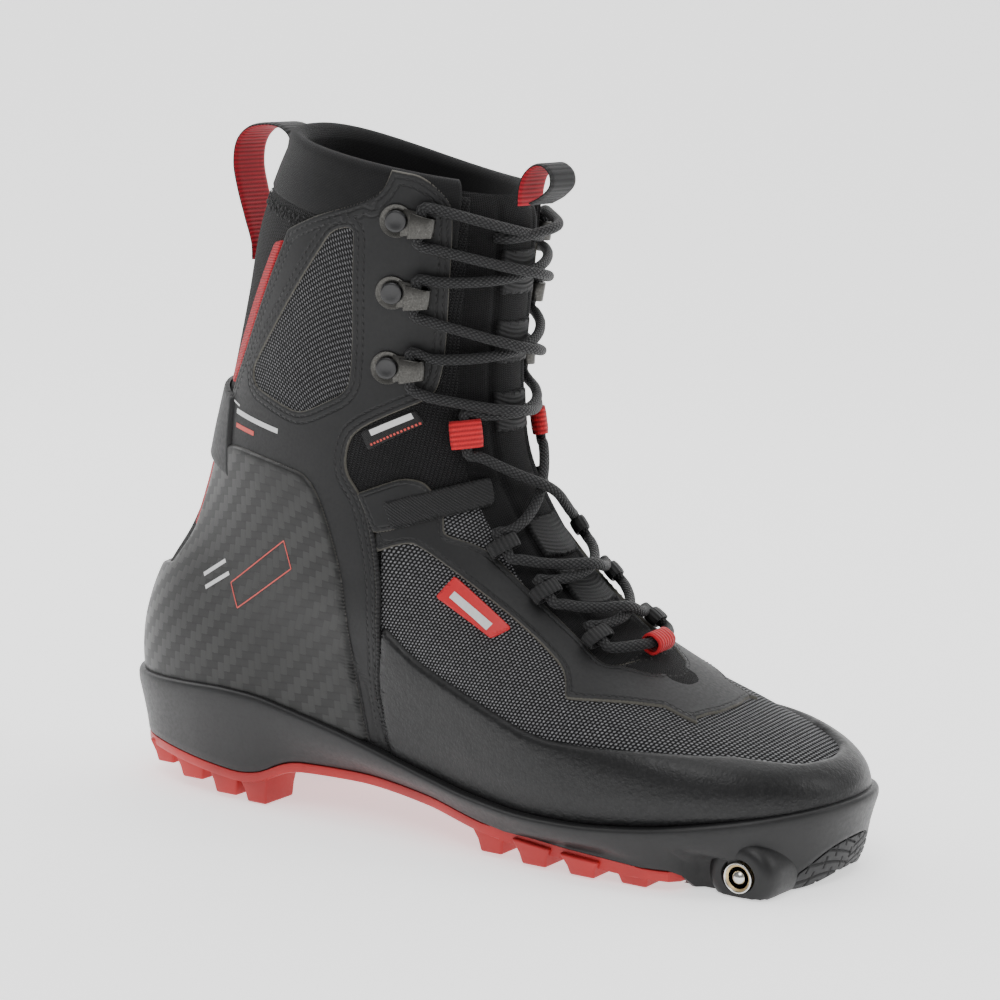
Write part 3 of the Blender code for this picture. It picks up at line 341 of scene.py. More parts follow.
def flatten(obj, turn=0.0):
    # Lays the piece out flat, as the cloth it is cut from, and keeps that as its grain in
    # millimetres.
    mesh = obj.data
    focus(obj)
    bpy.ops.object.mode_set(mode="EDIT")
    bpy.ops.mesh.select_all(action="SELECT")
    bpy.ops.uv.unwrap(method="ANGLE_BASED", margin=0.0)
    bpy.ops.object.mode_set(mode="OBJECT")
    flat = np.empty(len(mesh.loops) * 2)
    mesh.uv_layers["grain"].data.foreach_get("uv", flat)
    flat = flat.reshape(-1, 2)
    index = np.empty(len(mesh.loops), int)
    mesh.loops.foreach_get("vertex_index", index)
    points = np.empty(len(mesh.vertices) * 3)
    mesh.vertices.foreach_get("co", points)
    points = points.reshape(-1, 3)[index] / mm
    mesh.calc_loop_triangles()
    loops = np.array([tri.loops[:] for tri in mesh.loop_triangles])
    solidEdge = points[loops[:, 1:]] - points[loops[:, :1]]
    flatEdge = flat[loops[:, 1:]] - flat[loops[:, :1]]
    areas = np.linalg.norm(np.cross(solidEdge[:, 0], solidEdge[:, 1]), axis=1)
    flatAreas = np.linalg.det(flatEdge)
    flat = flat * math.sqrt(areas.sum() / np.abs(flatAreas).sum())
    flatEdge = flat[loops[:, 1:]] - flat[loops[:, :1]]
    onSide = (np.cross(solidEdge[:, 0], solidEdge[:, 1])[:, 1] < 0) & (np.abs(np.linalg.det(flatEdge)) > 1e-6)
    # the flat direction in which the outer side runs forward
    forward = np.linalg.solve(flatEdge[onSide], solidEdge[onSide][:, :, :1])[..., 0].mean(0)
    heading = math.atan2(forward[1], forward[0]) - math.radians(turn)
    c, s = math.cos(heading), math.sin(heading)
    flat = flat @ np.array([[c, -s], [s, c]])
    mesh.uv_layers["grain"].data.foreach_set("uv", flat.ravel())


def newMesh(name, points, faces, material=None, smooth=True, drawn=True):
    # A mesh object from drawn millimetres.
    mesh = bpy.data.meshes.new(name)
    points = np.asarray(points, float)
    if drawn:
        points = points + shift
    mesh.from_pydata((points * mm).tolist(), [], [tuple(int(i) for i in f) for f in faces])
    if smooth:
        mesh.shade_smooth()
    obj = bpy.data.objects.new(name, mesh)
    bpy.context.scene.collection.objects.link(obj)
    if material:
        mesh.materials.append(material)
    return obj


def evenNormals(obj):
    # All faces turned the same way.
    work = bmesh.new()
    work.from_mesh(obj.data)
    bmesh.ops.recalc_face_normals(work, faces=work.faces)
    work.to_mesh(obj.data)
    work.free()


def addGrain(obj, grain):
    # Stores a place in millimetres at each vertex as the UV map 'grain'.
    mesh = obj.data
    layer = mesh.uv_layers.new(name="grain")
    index = np.empty(len(mesh.loops), int)
    mesh.loops.foreach_get("vertex_index", index)
    layer.data.foreach_set("uv", np.asarray(grain, float)[index].ravel())


def addNumber(obj, name, values):
    layer = obj.data.attributes.new(name, "FLOAT", "POINT")
    layer.data.foreach_set("value", np.asarray(values, np.float32))


def focus(*objs):
    # Selects these objects only, the first of them active.
    bpy.ops.object.select_all(action="DESELECT")
    for obj in objs:
        obj.select_set(True)
    bpy.context.view_layer.objects.active = objs[0]


def settle(obj):
    # Puts the object's place and turn into its mesh.
    focus(obj)
    bpy.ops.object.transform_apply(location=True, rotation=True, scale=True)


def applyAll(obj):
    focus(obj)
    for step in list(obj.modifiers):
        bpy.ops.object.modifier_apply(modifier=step.name)


def bevelled(obj, width, segments=2, angle=35):
    step = obj.modifiers.new("bevel", "BEVEL")
    step.width = width * mm
    step.segments = segments
    step.limit_method = "ANGLE"
    step.angle_limit = math.radians(angle)
    step.harden_normals = False
    applyAll(obj)
    focus(obj)
    bpy.ops.object.shade_smooth_by_angle(angle=math.radians(40))


def panel(name, outline, lift, wall, material, rim=0.8, gap=2.2, holes=(), zero=0.0, shape=None):
    # A piece of the upper inside an outline in (t, v). Its edge starts at lift, and it rounds up to
    # wall above it over the rim. shape(t, v, edge) adds height.
    lines = [evenly(outline, 1.3)] + [evenly(h, 1.3) for h in holes]
    scaleT, scaleV = 190.0, 230.0
    loose = []
    for k, line in enumerate(lines):
        sign = 1 if k == 0 else -1
        for distance in (0.18 * rim, 0.55 * rim, rim, 2.2 * rim):
            moved, clear = insetLine(line, sign * distance)
            loose.append(moved[clear])
    low, high = lines[0].min(0), lines[0].max(0)
    gridT = np.arange(low[0], high[0], gap / scaleT)
    gridV = np.arange(low[1], high[1], gap / scaleV)
    grid = np.stack(np.meshgrid(gridT, gridV, indexing="ij"), -1)
    grid[1::2, :, 1] += gap / scaleV / 2
    loose.append(grid.reshape(-1, 2))
    loose = np.vstack(loose)
    keep = isInside(lines[0], loose)
    for hole in lines[1:]:
        keep &= ~isInside(hole, loose)
    loose = loose[keep]
    border = np.vstack([face(line[:, 0], line[:, 1]) for line in lines])
    away = nearest(face(loose[:, 0], loose[:, 1]), border)
    loose = loose[away > 0.12 * rim]
    points = [tuple(p) for line in lines for p in line * (scaleT, scaleV)]
    points += [tuple(p) for p in loose * (scaleT, scaleV)]
    edges, start = [], 0
    for line in lines:
        edges += [(start + i, start + (i + 1) % len(line)) for i in range(len(line))]
        start += len(line)
    flat, _, faces, _, _, _ = delaunay_2d_cdt([Vector(p) for p in points], edges, [], 0, 1e-5)
    flat = np.array([tuple(p) for p in flat]) / (scaleT, scaleV)
    faces = np.array([tuple(f) for f in faces])
    middles = flat[faces].mean(1)
    keep = isInside(lines[0], middles)
    for hole in lines[1:]:
        keep &= ~isInside(hole, middles)
    faces = faces[keep]
    used, faces = np.unique(faces, return_inverse=True)
    flat, faces = flat[used], faces.reshape(-1, 3)
    t, v = flat[:, 0], flat[:, 1]
    solid = face(t, v)
    edge = nearest(solid, border)
    share = np.clip(edge / rim, 0, 1)
    height = lift + wall * np.sqrt(np.clip(1 - (1 - share) ** 2, 0, 1))
    if shape:
        height = height + shape(t, v, edge)
    normal = outward(t, v)
    solid = solid + normal * height[:, None]
    a, b, c = (solid[faces[:, k]] for k in range(3))
    flipped = (np.cross(b - a, c - a) * normal[faces[:, 0]]).sum(1) < 0
    faces[flipped] = faces[flipped][:, ::-1]
    obj = newMesh(name, solid, faces, material)
    addGrain(obj, grainOf(t, v, zero))
    addNumber(obj, "edge", edge)
    return obj


def frameAt(t, v, lift):
    # Place on the face with its axes as columns: towards the toe, up the boot, and out.
    t1, v1 = np.array([float(t)]), np.array([float(v)])
    ahead, rise = slopes(t1, v1)
    normal = unit(np.cross(rise, ahead))[0]
    up = unit(rise)[0]
    side = -1 if ((t + 1) % 2 - 1) < 0 else 1
    forward = np.cross(up, normal) * (1 if side < 0 else -1)
    at = lifted(t1, v1, np.array([lift]))[0]
    return at, forward, up, normal


def onFace(t, v, points):
    # Points given as (forward, up, out) at a place on the face.
    at, forward, up, normal = frameAt(t, v, 0.0)
    points = np.asarray(points, float)
    return at + points[:, :1] * forward + points[:, 1:2] * up + points[:, 2:] * normal


def seat(obj, t, v, lift):
    # Moves an object modelled in millimetres as (forward, up, out) to its place on the face.
    at, forward, up, normal = frameAt(t, v, lift)
    turn = np.stack([forward, up, normal], -1)
    matrix = Matrix([list(turn[r] * 1.0) + [(at[r] + shift[r]) * mm] for r in range(3)] + [[0, 0, 0, 1]])
    obj.data.transform(matrix)
    if np.linalg.det(turn) < 0:
        obj.data.flip_normals()


print("surface ready")


# materials

class Graph:
    # A material with short calls for its nodes.

    def __init__(self, name, colour=(0.5, 0.5, 0.5), roughness=0.5, metallic=0.0, **more):
        self.material = bpy.data.materials.new(name)
        self.material.use_nodes = True
        self.tree = self.material.node_tree
        self.shader = self.tree.nodes["Principled BSDF"]
        self.put("Base Color", (*colour, 1))
        self.put("Roughness", roughness)
        self.put("Metallic", metallic)
        for key, value in more.items():
            self.put(key.replace("_", " "), value)

    def link(self, socket, value):
        if isinstance(value, bpy.types.NodeSocket):
            self.tree.links.new(value, socket)
        else:
            socket.default_value = value

    def put(self, name, value):
        self.link(self.shader.inputs[name], value)

    def make(self, kind, **settings):
        node = self.tree.nodes.new(kind)
        for key, value in settings.items():
            setattr(node, key, value)
        return node

    def calc(self, operation, *values):
        node = self.make("ShaderNodeMath", operation=operation)
        for socket, value in zip(node.inputs, values):
            self.link(socket, value)
        return node.outputs[0]

    def grain(self):
        node = self.make("ShaderNodeUVMap", uv_map="grain")
        parts = self.make("ShaderNodeSeparateXYZ")
        self.link(parts.inputs[0], node.outputs[0])
        return node.outputs[0], parts.outputs[0], parts.outputs[1]

    def place(self):
        # Object coordinates in millimetres.
        node = self.make("ShaderNodeTexCoord")
        scaled = self.make("ShaderNodeVectorMath", operation="SCALE")
        self.link(scaled.inputs[0], node.outputs["Object"])
        scaled.inputs["Scale"].default_value = 1000.0
        return scaled.outputs[0]

    def number(self, name):
        return self.make("ShaderNodeAttribute", attribute_name=name).outputs["Fac"]

    def noise(self, where, scale, detail=2.0, roughness=0.5):
        node = self.make("ShaderNodeTexNoise")
        self.link(node.inputs["Vector"], where)
        node.inputs["Scale"].default_value = scale
        node.inputs["Detail"].default_value = detail
        node.inputs["Roughness"].default_value = roughness
        return node.outputs["Fac"]

    def cells(self, where, scale, feature="F1", output="Distance"):
        node = self.make("ShaderNodeTexVoronoi", feature=feature)
        self.link(node.inputs["Vector"], where)
        node.inputs["Scale"].default_value = scale
        return node.outputs[output]

    def remap(self, value, low, high, outLow=0.0, outHigh=1.0):
        node = self.make("ShaderNodeMapRange")
        for key, item in zip((0, 1, 2, 3, 4), (value, low, high, outLow, outHigh)):
            self.link(node.inputs[key], item)
        return node.outputs[0]

    def blend(self, share, first, second):
        node = self.make("ShaderNodeMix", data_type="RGBA")
        self.link(node.inputs[0], share)
        for key, colour in ((6, first), (7, second)):
            if isinstance(colour, tuple) and len(colour) == 3:
                colour = (*colour, 1)
            self.link(node.inputs[key], colour)
        return node.outputs[2]

    def bump(self, height, distance, strength=1.0):
        # Relief of height 0 to 1, distance in millimetres.
        node = self.make("ShaderNodeBump")
        self.link(node.inputs["Height"], height)
        node.inputs["Distance"].default_value = distance * mm
        node.inputs["Strength"].default_value = strength
        existing = self.shader.inputs["Normal"].links
        if existing:
            self.link(node.inputs["Normal"], existing[0].from_socket)
        self.put("Normal", node.outputs[0])

    def wave(self, value, period, phase=0.0):
        # 0 to 1 and back over a period.
        turned = self.calc("MULTIPLY_ADD", value, 2 * math.pi / period, phase)
        return self.calc("MULTIPLY_ADD", self.calc("SINE", turned), 0.5, 0.5)

    def groove(self, value, middle, width):
        # 1 on a line and 0 away from it.
        off = self.calc("ABSOLUTE", self.calc("SUBTRACT", value, middle))
        return self.remap(off, 0.0, width, 1.0, 0.0)


def overlayMaterial(name, rows, width):
    # Smooth coated sheet with a pale cut edge and the dent of its rows of stitches.
    g = Graph(name, (0.02, 0.02, 0.0205), 0.5, Specular_IOR_Level=0.3)
    where = g.place()
    edge = g.number("edge")
    cloud = g.noise(where, 0.06, 3)
    base = g.blend(cloud, (0.0095, 0.0095, 0.01), (0.0145, 0.0145, 0.015))
    ragged = g.calc("MULTIPLY_ADD", g.noise(where, 1.3, 3), 0.5, 0.12)
    rim = g.remap(g.calc("SUBTRACT", edge, ragged), -0.12, 0.22, 1.0, 0.0)
    g.put("Base Color", g.blend(rim, base, (0.085, 0.08, 0.068)))
    g.put("Roughness", g.remap(g.noise(where, 0.9, 4), 0.3, 0.7, 0.46, 0.6))
    g.bump(g.noise(where, 2.4, 3), 0.05, 0.5)
    dents = [g.groove(edge, row, width) for row in rows]
    dent = dents[0] if len(dents) == 1 else g.calc("MAXIMUM", *dents)
    g.bump(g.calc("SUBTRACT", 1.0, dent), 0.3, 0.8)
    return g.material


def meshMaterial(name, pitch, angle, bright):
    # Coarse mesh: rows of pale slanted dashes over black.
    g = Graph(name, (0.01, 0.01, 0.01), 0.75, Specular_IOR_Level=0.2)
    _, u, w = g.grain()
    c, s = math.cos(math.radians(angle)), math.sin(math.radians(angle))
    a = g.calc("ADD", g.calc("MULTIPLY", u, c), g.calc("MULTIPLY", w, s))
    b = g.calc("ADD", g.calc("MULTIPLY", u, -s), g.calc("MULTIPLY", w, c))
    # rows of dashes, each row half a step on from the last
    rowHigh = pitch * 0.72
    row = g.calc("FLOOR", g.calc("DIVIDE", b, rowHigh))
    odd = g.calc("MULTIPLY", g.calc("MODULO", g.calc("ABSOLUTE", row), 2.0), 0.5)
    along = g.calc("FRACT", g.calc("ADD", g.calc("DIVIDE", a, pitch), odd))
    across = g.calc("FRACT", g.calc("DIVIDE", b, rowHigh))
    lean = g.calc("MULTIPLY_ADD", g.calc("SUBTRACT", across, 0.5), -0.28, along)
    dash = g.remap(g.calc("ABSOLUTE", g.calc("SUBTRACT", lean, 0.5)), 0.2, 0.32, 1.0, 0.0)
    dash = g.calc("MULTIPLY", dash, g.remap(g.calc("ABSOLUTE", g.calc("SUBTRACT", across, 0.5)), 0.2,
        0.42, 1.0, 0.0))
    where = g.place()
    fleck = g.remap(g.noise(where, 1.1, 2), 0.3, 0.7, 0.45, 1.1)
    fibre = g.remap(g.noise(where, 5.0, 2), 0.3, 0.7, 0.7, 1.1)
    share = g.calc("MULTIPLY", dash, g.calc("MULTIPLY", fleck, fibre))
    g.put("Base Color", g.blend(share, (0.006, 0.006, 0.0065), (bright, bright, bright * 1.04)))
    g.put("Roughness", g.remap(dash, 0, 1, 0.85, 0.5))
    g.bump(dash, 0.35, 0.9)
    return g.material


def knitMaterial(name, colour, rib, course, relief=0.35, sheen=0.15):
    # Fine knit: columns of small leaning loops, coloured lighter on their tops as painted highlight and
    # darker between them as painted shade.
    g = Graph(name, colour, 0.85, Sheen_Weight=sheen * 0.3, Sheen_Roughness=0.5, Specular_IOR_Level=0.15)
    _, u, w = g.grain()
    column = g.calc("FRACT", g.calc("DIVIDE", u, rib))
    tip = g.calc("ABSOLUTE", g.calc("SUBTRACT", column, 0.5))
    leaned = g.calc("MULTIPLY_ADD", tip, course * 1.3, w)
    loops = g.wave(leaned, course)
    body = g.remap(tip, 0.3, 0.5, 1.0, 0.0)
    height = g.calc("MULTIPLY", loops, body)
    where = g.place()
    fuzz = g.noise(where, 4.5, 3)
    # painted highlight on the loop tops and painted shade between the loops, broken up by random fuzz
    paintedLoopLight = g.calc("MULTIPLY", height, g.remap(fuzz, 0.3, 0.7, 0.6, 1.2))
    darker = tuple(k * 0.3 for k in colour)
    lighter = tuple(k * 1.9 for k in colour)
    patch = g.remap(g.noise(where, 0.05, 2), 0.35, 0.65, 0.75, 1.0)
    g.put("Base Color", g.blend(g.calc("MULTIPLY", paintedLoopLight, patch), darker, lighter))
    g.bump(g.calc("ADD", height, g.calc("MULTIPLY", fuzz, 0.5)), relief, 0.9)
    return g.material


def perforatedMaterial(name, colour):
    # Smooth padded fabric with rows of small punched holes, painted near-black as the shade inside them.
    g = Graph(name, colour, 0.8, Specular_IOR_Level=0.2)
    _, u, w = g.grain()
    pitch = 3.2
    row = g.calc("FLOOR", g.calc("DIVIDE", w, pitch))
    odd = g.calc("MULTIPLY", g.calc("MODULO", g.calc("ABSOLUTE", row), 2.0), 0.5)
    a = g.calc("SUBTRACT", g.calc("FRACT", g.calc("ADD", g.calc("DIVIDE", u, pitch), odd)), 0.5)
    b = g.calc("SUBTRACT", g.calc("FRACT", g.calc("DIVIDE", w, pitch)), 0.5)
    away = g.calc("SQRT", g.calc("ADD", g.calc("MULTIPLY", a, a), g.calc("MULTIPLY", b, b)))
    hole = g.remap(away, 0.17, 0.24, 1.0, 0.0)
    where = g.place()
    weave = g.noise(where, 3.0, 3)
    body = g.blend(weave, tuple(k * 0.7 for k in colour), tuple(k * 1.35 for k in colour))
    # the holes' near-black is painted shade; the holes are only colour and bump
    g.put("Base Color", g.blend(hole, body, (0.0015, 0.0015, 0.0015)))
    g.bump(g.calc("SUBTRACT", 1.0, hole), 0.5, 0.8)
    g.bump(weave, 0.12, 0.6)
    return g.material


def twillMaterial():
    # Moulded sheet with a printed carbon twill, fading out towards its top on the boot and here in broad
    # random patches; the tows running one way are coloured lighter than the others, and each tow lighter
    # along its crown, as painted sheen.
    g = Graph("counter", (0.05, 0.05, 0.05), 0.42, Specular_IOR_Level=0.3)
    _, u, w = g.grain()
    tow = 3.1
    col = g.calc("FLOOR", g.calc("DIVIDE", u, tow))
    line = g.calc("FLOOR", g.calc("DIVIDE", w, tow))
    kind = g.calc("FRACT", g.calc("DIVIDE", g.calc("ADD", g.calc("ADD", col, line), 400.0), 4.0))
    over = g.calc("LESS_THAN", kind, 0.49)
    fu = g.calc("FRACT", g.calc("DIVIDE", u, tow))
    fw = g.calc("FRACT", g.calc("DIVIDE", w, tow))
    across = g.calc("ADD", g.calc("MULTIPLY", over, fu),
                    g.calc("MULTIPLY", g.calc("SUBTRACT", 1.0, over), fw))
    crown = g.calc("SUBTRACT", 1.0, g.calc("POWER", g.calc("MULTIPLY", g.calc("ABSOLUTE",
                   g.calc("SUBTRACT", across, 0.5)), 2.0), 4.0))
    where = g.place()
    fade = g.remap(g.noise(where, 0.018, 2), 0.36, 0.58, 0.3, 1.0)
    strand = g.remap(g.noise(where, 3.0, 2), 0.3, 0.7, 0.9, 1.1)
    # painted sheen: the tows running one way lighter than the others, faded in broad patches
    twillWithPaintedSheen = g.blend(g.calc("MULTIPLY", over, fade), (0.007, 0.007, 0.007), (0.02, 0.02, 0.0195))
    # painted sheen: each tow lighter along its crown
    twillWithPaintedSheen = g.blend(g.calc("MULTIPLY", g.calc("MULTIPLY", crown, 0.25), strand), twillWithPaintedSheen, (0.03, 0.03, 0.029))
    rim = g.remap(g.number("edge"), 0.25, 0.6, 1.0, 0.0)
    g.put("Base Color", g.blend(g.calc("MULTIPLY", rim, 0.55), twillWithPaintedSheen, (0.1, 0.097, 0.088)))
    g.put("Roughness", g.remap(g.calc("MULTIPLY", over, fade), 0, 1, 0.48, 0.38))
    g.put("Coat Weight", 0.12)
    g.put("Coat Roughness", 0.35)
    g.bump(crown, 0.03, 0.5)
    g.bump(g.noise(where, 0.35, 3), 0.12, 0.5)
    return g.material


def leatherMaterial():
    # Pebbled, semi-gloss, with painted shade in the hollows between the pebbles.
    g = Graph("rand", (0.013, 0.013, 0.0135), 0.36, Specular_IOR_Level=0.35)
    where = g.place()
    warp = g.noise(where, 0.5, 2)
    pebble = g.cells(where, 0.85, "SMOOTH_F1")
    fine = g.cells(where, 1.9, "SMOOTH_F1")
    height = g.calc("SUBTRACT", 1.0, g.calc("ADD", g.calc("MULTIPLY", pebble, 0.7),
        g.calc("MULTIPLY", fine, 0.45)))
    # painted shade: darker in the grain's hollows, lighter on the pebbles
    g.put("Base Color", g.blend(g.remap(height, 0.2, 0.7), (0.0045, 0.0045, 0.005), (0.01, 0.01, 0.0105)))
    rim = g.remap(g.number("edge"), 0.15, 0.5, 1.0, 0.0)
    g.put("Roughness", g.remap(g.calc("ADD", warp, g.calc("MULTIPLY", height, 0.3)), 0.4, 1.0, 0.46, 0.32))
    g.bump(height, 0.28, 0.5)
    g.bump(g.noise(where, 0.09, 2), 1.2, 0.25)
    return g.material


def mouldedMaterial(name, colour, roughness, grain=0.04):
    # Moulded rubber or plastic with a faint spark-eroded grain and handling marks.
    g = Graph(name, colour, roughness, Specular_IOR_Level=0.35)
    where = g.place()
    cloud = g.noise(where, 0.035, 3)
    lighter = tuple(k * 1.18 for k in colour)
    darker = tuple(k * 0.86 for k in colour)
    g.put("Base Color", g.blend(g.remap(cloud, 0.35, 0.65), darker, lighter))
    g.put("Roughness", g.remap(g.noise(where, 0.7, 4), 0.3, 0.7, roughness - 0.06, roughness + 0.07))
    g.bump(g.noise(where, 2.6, 3), grain, 0.6)
    return g.material


def webbingMaterial(name, colour, rib=1.3, along=True, shine=0.6):
    # Woven tape with ribs across its length, with painted shade in the hollows and painted highlight on the
    # crests; the grain's first number runs across and the second along.
    g = Graph(name, colour, shine, Sheen_Weight=0.04, Specular_IOR_Level=0.25)
    _, u, w = g.grain()
    ribs = g.wave(w if along else u, rib)
    threads = g.wave(g.calc("MULTIPLY_ADD", ribs, 0.2, u if along else w), 0.55)
    height = g.calc("MULTIPLY_ADD", threads, 0.35, ribs)
    where = g.place()
    fuzz = g.remap(g.noise(where, 3.5, 2), 0.3, 0.7, 0.8, 1.15)
    darker = tuple(k * 0.5 for k in colour)
    lighter = tuple(min(k * 1.25, 1) for k in colour)
    # painted shade in the hollows and painted highlight on the crests of ribs and threads, broken up by
    # random fuzz
    g.put("Base Color", g.blend(g.calc("MULTIPLY", g.remap(height, 0.1, 1.1), fuzz), darker, lighter))
    g.bump(height, 0.32, 0.8)
    return g.material


def laceMaterial():
    # Round braid: the grain's first number runs once round the cord and the second along it.
    g = Graph("lace", (0.012, 0.012, 0.013), 0.6, Sheen_Weight=0.04, Specular_IOR_Level=0.25)
    _, u, w = g.grain()
    turn, step = 8.0, 2.1
    first = g.calc("ADD", g.calc("MULTIPLY", u, turn), g.calc("DIVIDE", w, step))
    second = g.calc("SUBTRACT", g.calc("MULTIPLY", u, turn), g.calc("DIVIDE", w, step))
    hillA = g.calc("ABSOLUTE", g.calc("SINE", g.calc("MULTIPLY", first, math.pi)))
    hillB = g.calc("ABSOLUTE", g.calc("SINE", g.calc("MULTIPLY", second, math.pi)))
    height = g.calc("MULTIPLY", hillA, hillB)
    where = g.place()
    fuzz = g.remap(g.noise(where, 4.0, 2), 0.3, 0.7, 0.6, 1.2)
    # painted shade between the braid's strands and painted highlight on them, broken up by random fuzz
    g.put("Base Color", g.blend(g.calc("MULTIPLY", height, fuzz), (0.0035, 0.0035, 0.004),
        (0.04, 0.04, 0.041)))
    g.bump(height, 0.4, 0.95)
    return g.material


def metalMaterial(name, colour, roughness, wear=0.25):
    g = Graph(name, colour, roughness, 1.0)
    where = g.place()
    marks = g.noise(where, 1.6, 5, 0.65)
    g.put("Base Color", g.blend(g.remap(marks, 0.35, 0.65), tuple(k * (1 - wear) for k in colour), colour))
    g.put("Roughness", g.remap(marks, 0.3, 0.7, roughness + 0.1, max(roughness - 0.06, 0.03)))
    g.bump(g.noise(where, 4.0, 3), 0.03, 0.5)
    return g.material


def plainMaterial(name, colour, roughness, metallic=0.0):
    g = Graph(name, colour, roughness, metallic)
    where = g.place()
    cloud = g.noise(where, 0.8, 3)
    g.put("Base Color", g.blend(cloud, tuple(k * 0.85 for k in colour),
        tuple(min(k * 1.15, 1) for k in colour)))
    g.bump(g.noise(where, 3.0, 2), 0.05, 0.5)
    return g.material


looks = {
    "overlay": overlayMaterial("overlay", (2.0, 4.3), 0.65),
    "oneRow": overlayMaterial("overlay_one_row", (1.9,), 0.6),
    "mesh": meshMaterial("vamp_mesh", 1.6, 4, 0.24),
    "window": meshMaterial("window_mesh", 1.6, 4, 0.17),
    "knit": knitMaterial("knit", (0.014, 0.014, 0.0145), 1.5, 1.25),
    "knitFine": knitMaterial("knit_fine", (0.011, 0.011, 0.0115), 0.9, 0.8, 0.25),
    "lining": perforatedMaterial("lining", (0.022, 0.022, 0.023)),
    "collar": knitMaterial("collar", (0.0125, 0.0125, 0.013), 0.6, 0.55, 0.08, 0.25),
    "counter": twillMaterial(),
    "rand": leatherMaterial(),
    "midsole": mouldedMaterial("midsole", (0.014, 0.014, 0.0145), 0.44),
    "block": mouldedMaterial("block", (0.013, 0.013, 0.0135), 0.42),
    "outsole": mouldedMaterial("outsole", (0.4, 0.022, 0.022), 0.42),
    "tread": mouldedMaterial("tread", (0.036, 0.036, 0.037), 0.6),
    "stay": mouldedMaterial("stay", (0.013, 0.013, 0.0135), 0.55),
    "thread": plainMaterial("thread", (0.0035, 0.0035, 0.0038), 0.55),
    "piping": webbingMaterial("piping", (0.42, 0.012, 0.02), 1.0),
    "webbingBlack": webbingMaterial("webbing_black", (0.014, 0.014, 0.0145), 1.7),
    "webbingRed": webbingMaterial("webbing_red", (0.5, 0.012, 0.018), 1.7, along=False),
    "liningRed": webbingMaterial("strap_red", (0.42, 0.008, 0.02), 1.6),
    "lace": laceMaterial(),
    "hook": metalMaterial("hook", (0.085, 0.083, 0.078), 0.3, 0.4),
    "rivet": plainMaterial("rivet", (0.012, 0.012, 0.013), 0.28),
    "steel": metalMaterial("steel", (0.72, 0.71, 0.68), 0.16, 0.15),
    "brass": metalMaterial("brass", (0.75, 0.58, 0.32), 0.5, 0.2),
    "labelRed": plainMaterial("label_red", (0.5, 0.01, 0.016), 0.5),
    "labelBlack": webbingMaterial("label_black", (0.02, 0.02, 0.0205), 0.8),
    "printRed": plainMaterial("print_red", (0.55, 0.06, 0.045), 0.5),
    "print": plainMaterial("print_pale", (0.6, 0.6, 0.6), 0.5),
    "felt": plainMaterial("felt", (0.09, 0.09, 0.1), 0.95),
    "board": plainMaterial("board", (0.33, 0.24, 0.15), 0.85)}
print("materials ready")


# softshell, vamp, tongue, lining and collar

def finish(obj, body, slotName, *nodes):
    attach(obj, body)
    if nodes:
        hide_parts(*nodes)
    return obj


def bothSides(names):
    return [f"{n}_{side}" for n in names for side in ("lateral", "medial")]


upper = {"throat": 0.83, "seam": [(-18.5, 31), (-17.5, 60), (-18, 112), (-2, 118), (14, 124), (17, 125)],
         "softWall": 2.0, "throatEnd": 0.462}
seam = locate(resampled(upper["seam"], 3.0, closed=False))
throatSide = np.stack([np.full(40, -upper["throat"]), np.linspace(seam[-1, 1] + 0.01, 0.985, 40)], -1)
seamUp = np.vstack([lowRow(seam[:1, 0], 4.0), seam])
backHalf = np.vstack([seamUp, throatSide])
collarLine = np.stack([np.linspace(-upper["throat"], upper["throat"], 80)[1:-1], np.full(78, 0.985)], -1)
soleLine = lowRow(np.linspace(-seam[0, 0], seam[0, 0], 60)[1:-1], 4.0)
softOutline = np.vstack([backHalf, collarLine, mirrored(backHalf), soleLine])
softshell = panel("softshell", softOutline, -2.0, upper["softWall"], looks["knit"], rim=1.4, gap=3.0)
finish(softshell, "boot", "softshell_black", "back_panel", "heel_panel",
       *bothSides(["quarter", "shaft"]))

throatCurve = np.linspace(0, math.pi / 2, 14)
vampLine = np.vstack([seamUp, np.stack([np.full(20, -upper["throat"]),
                                        np.linspace(seam[-1, 1], upper["throatEnd"] + 0.04, 20)], -1),
                      np.column_stack([-1 + (1 - upper["throat"]) * np.cos(throatCurve),
                                       upper["throatEnd"] + 0.035 * (1 - np.sin(throatCurve))])])
vampLine = np.vstack([vampLine, np.column_stack([-2 - vampLine[::-1, 0], vampLine[::-1, 1]])])
vampSole = lowRow(np.linspace(-2 - seam[0, 0], seam[0, 0], 90)[1:-1], 4.0)
vamp = panel("vamp_mesh", np.vstack([vampLine, vampSole]), -2.0, upper["softWall"], looks["mesh"], rim=1.4,
             gap=3.0, zero=-1.0)
flatten(vamp)
finish(vamp, "boot", "mesh_grey", "vamp")


def gridPiece(name, t, v, lift, material, zero=-1.0):
    # A sheet over a grid of (t, v), lifted from the face.
    tt, vv = np.meshgrid(t, v, indexing="ij")
    lifts = np.broadcast_to(lift, tt.shape)
    solid = lifted(tt.ravel(), vv.ravel(), lifts.ravel())
    n, m = tt.shape
    index = np.arange(n * m).reshape(n, m)
    a, b = index[:-1, :-1].ravel(), index[1:, :-1].ravel()
    c, d = index[1:, 1:].ravel(), index[:-1, 1:].ravel()
    faces = np.stack([a, b, c, d], -1)
    normal = outward(tt.ravel(), vv.ravel())
    cross = np.cross(solid[b] - solid[a], solid[d] - solid[a])
    if (cross * normal[a]).sum() < 0:
        faces = faces[:, ::-1]
    obj = newMesh(name, solid, faces, material)
    addGrain(obj, grainOf(tt.ravel(), vv.ravel(), zero))
    return obj


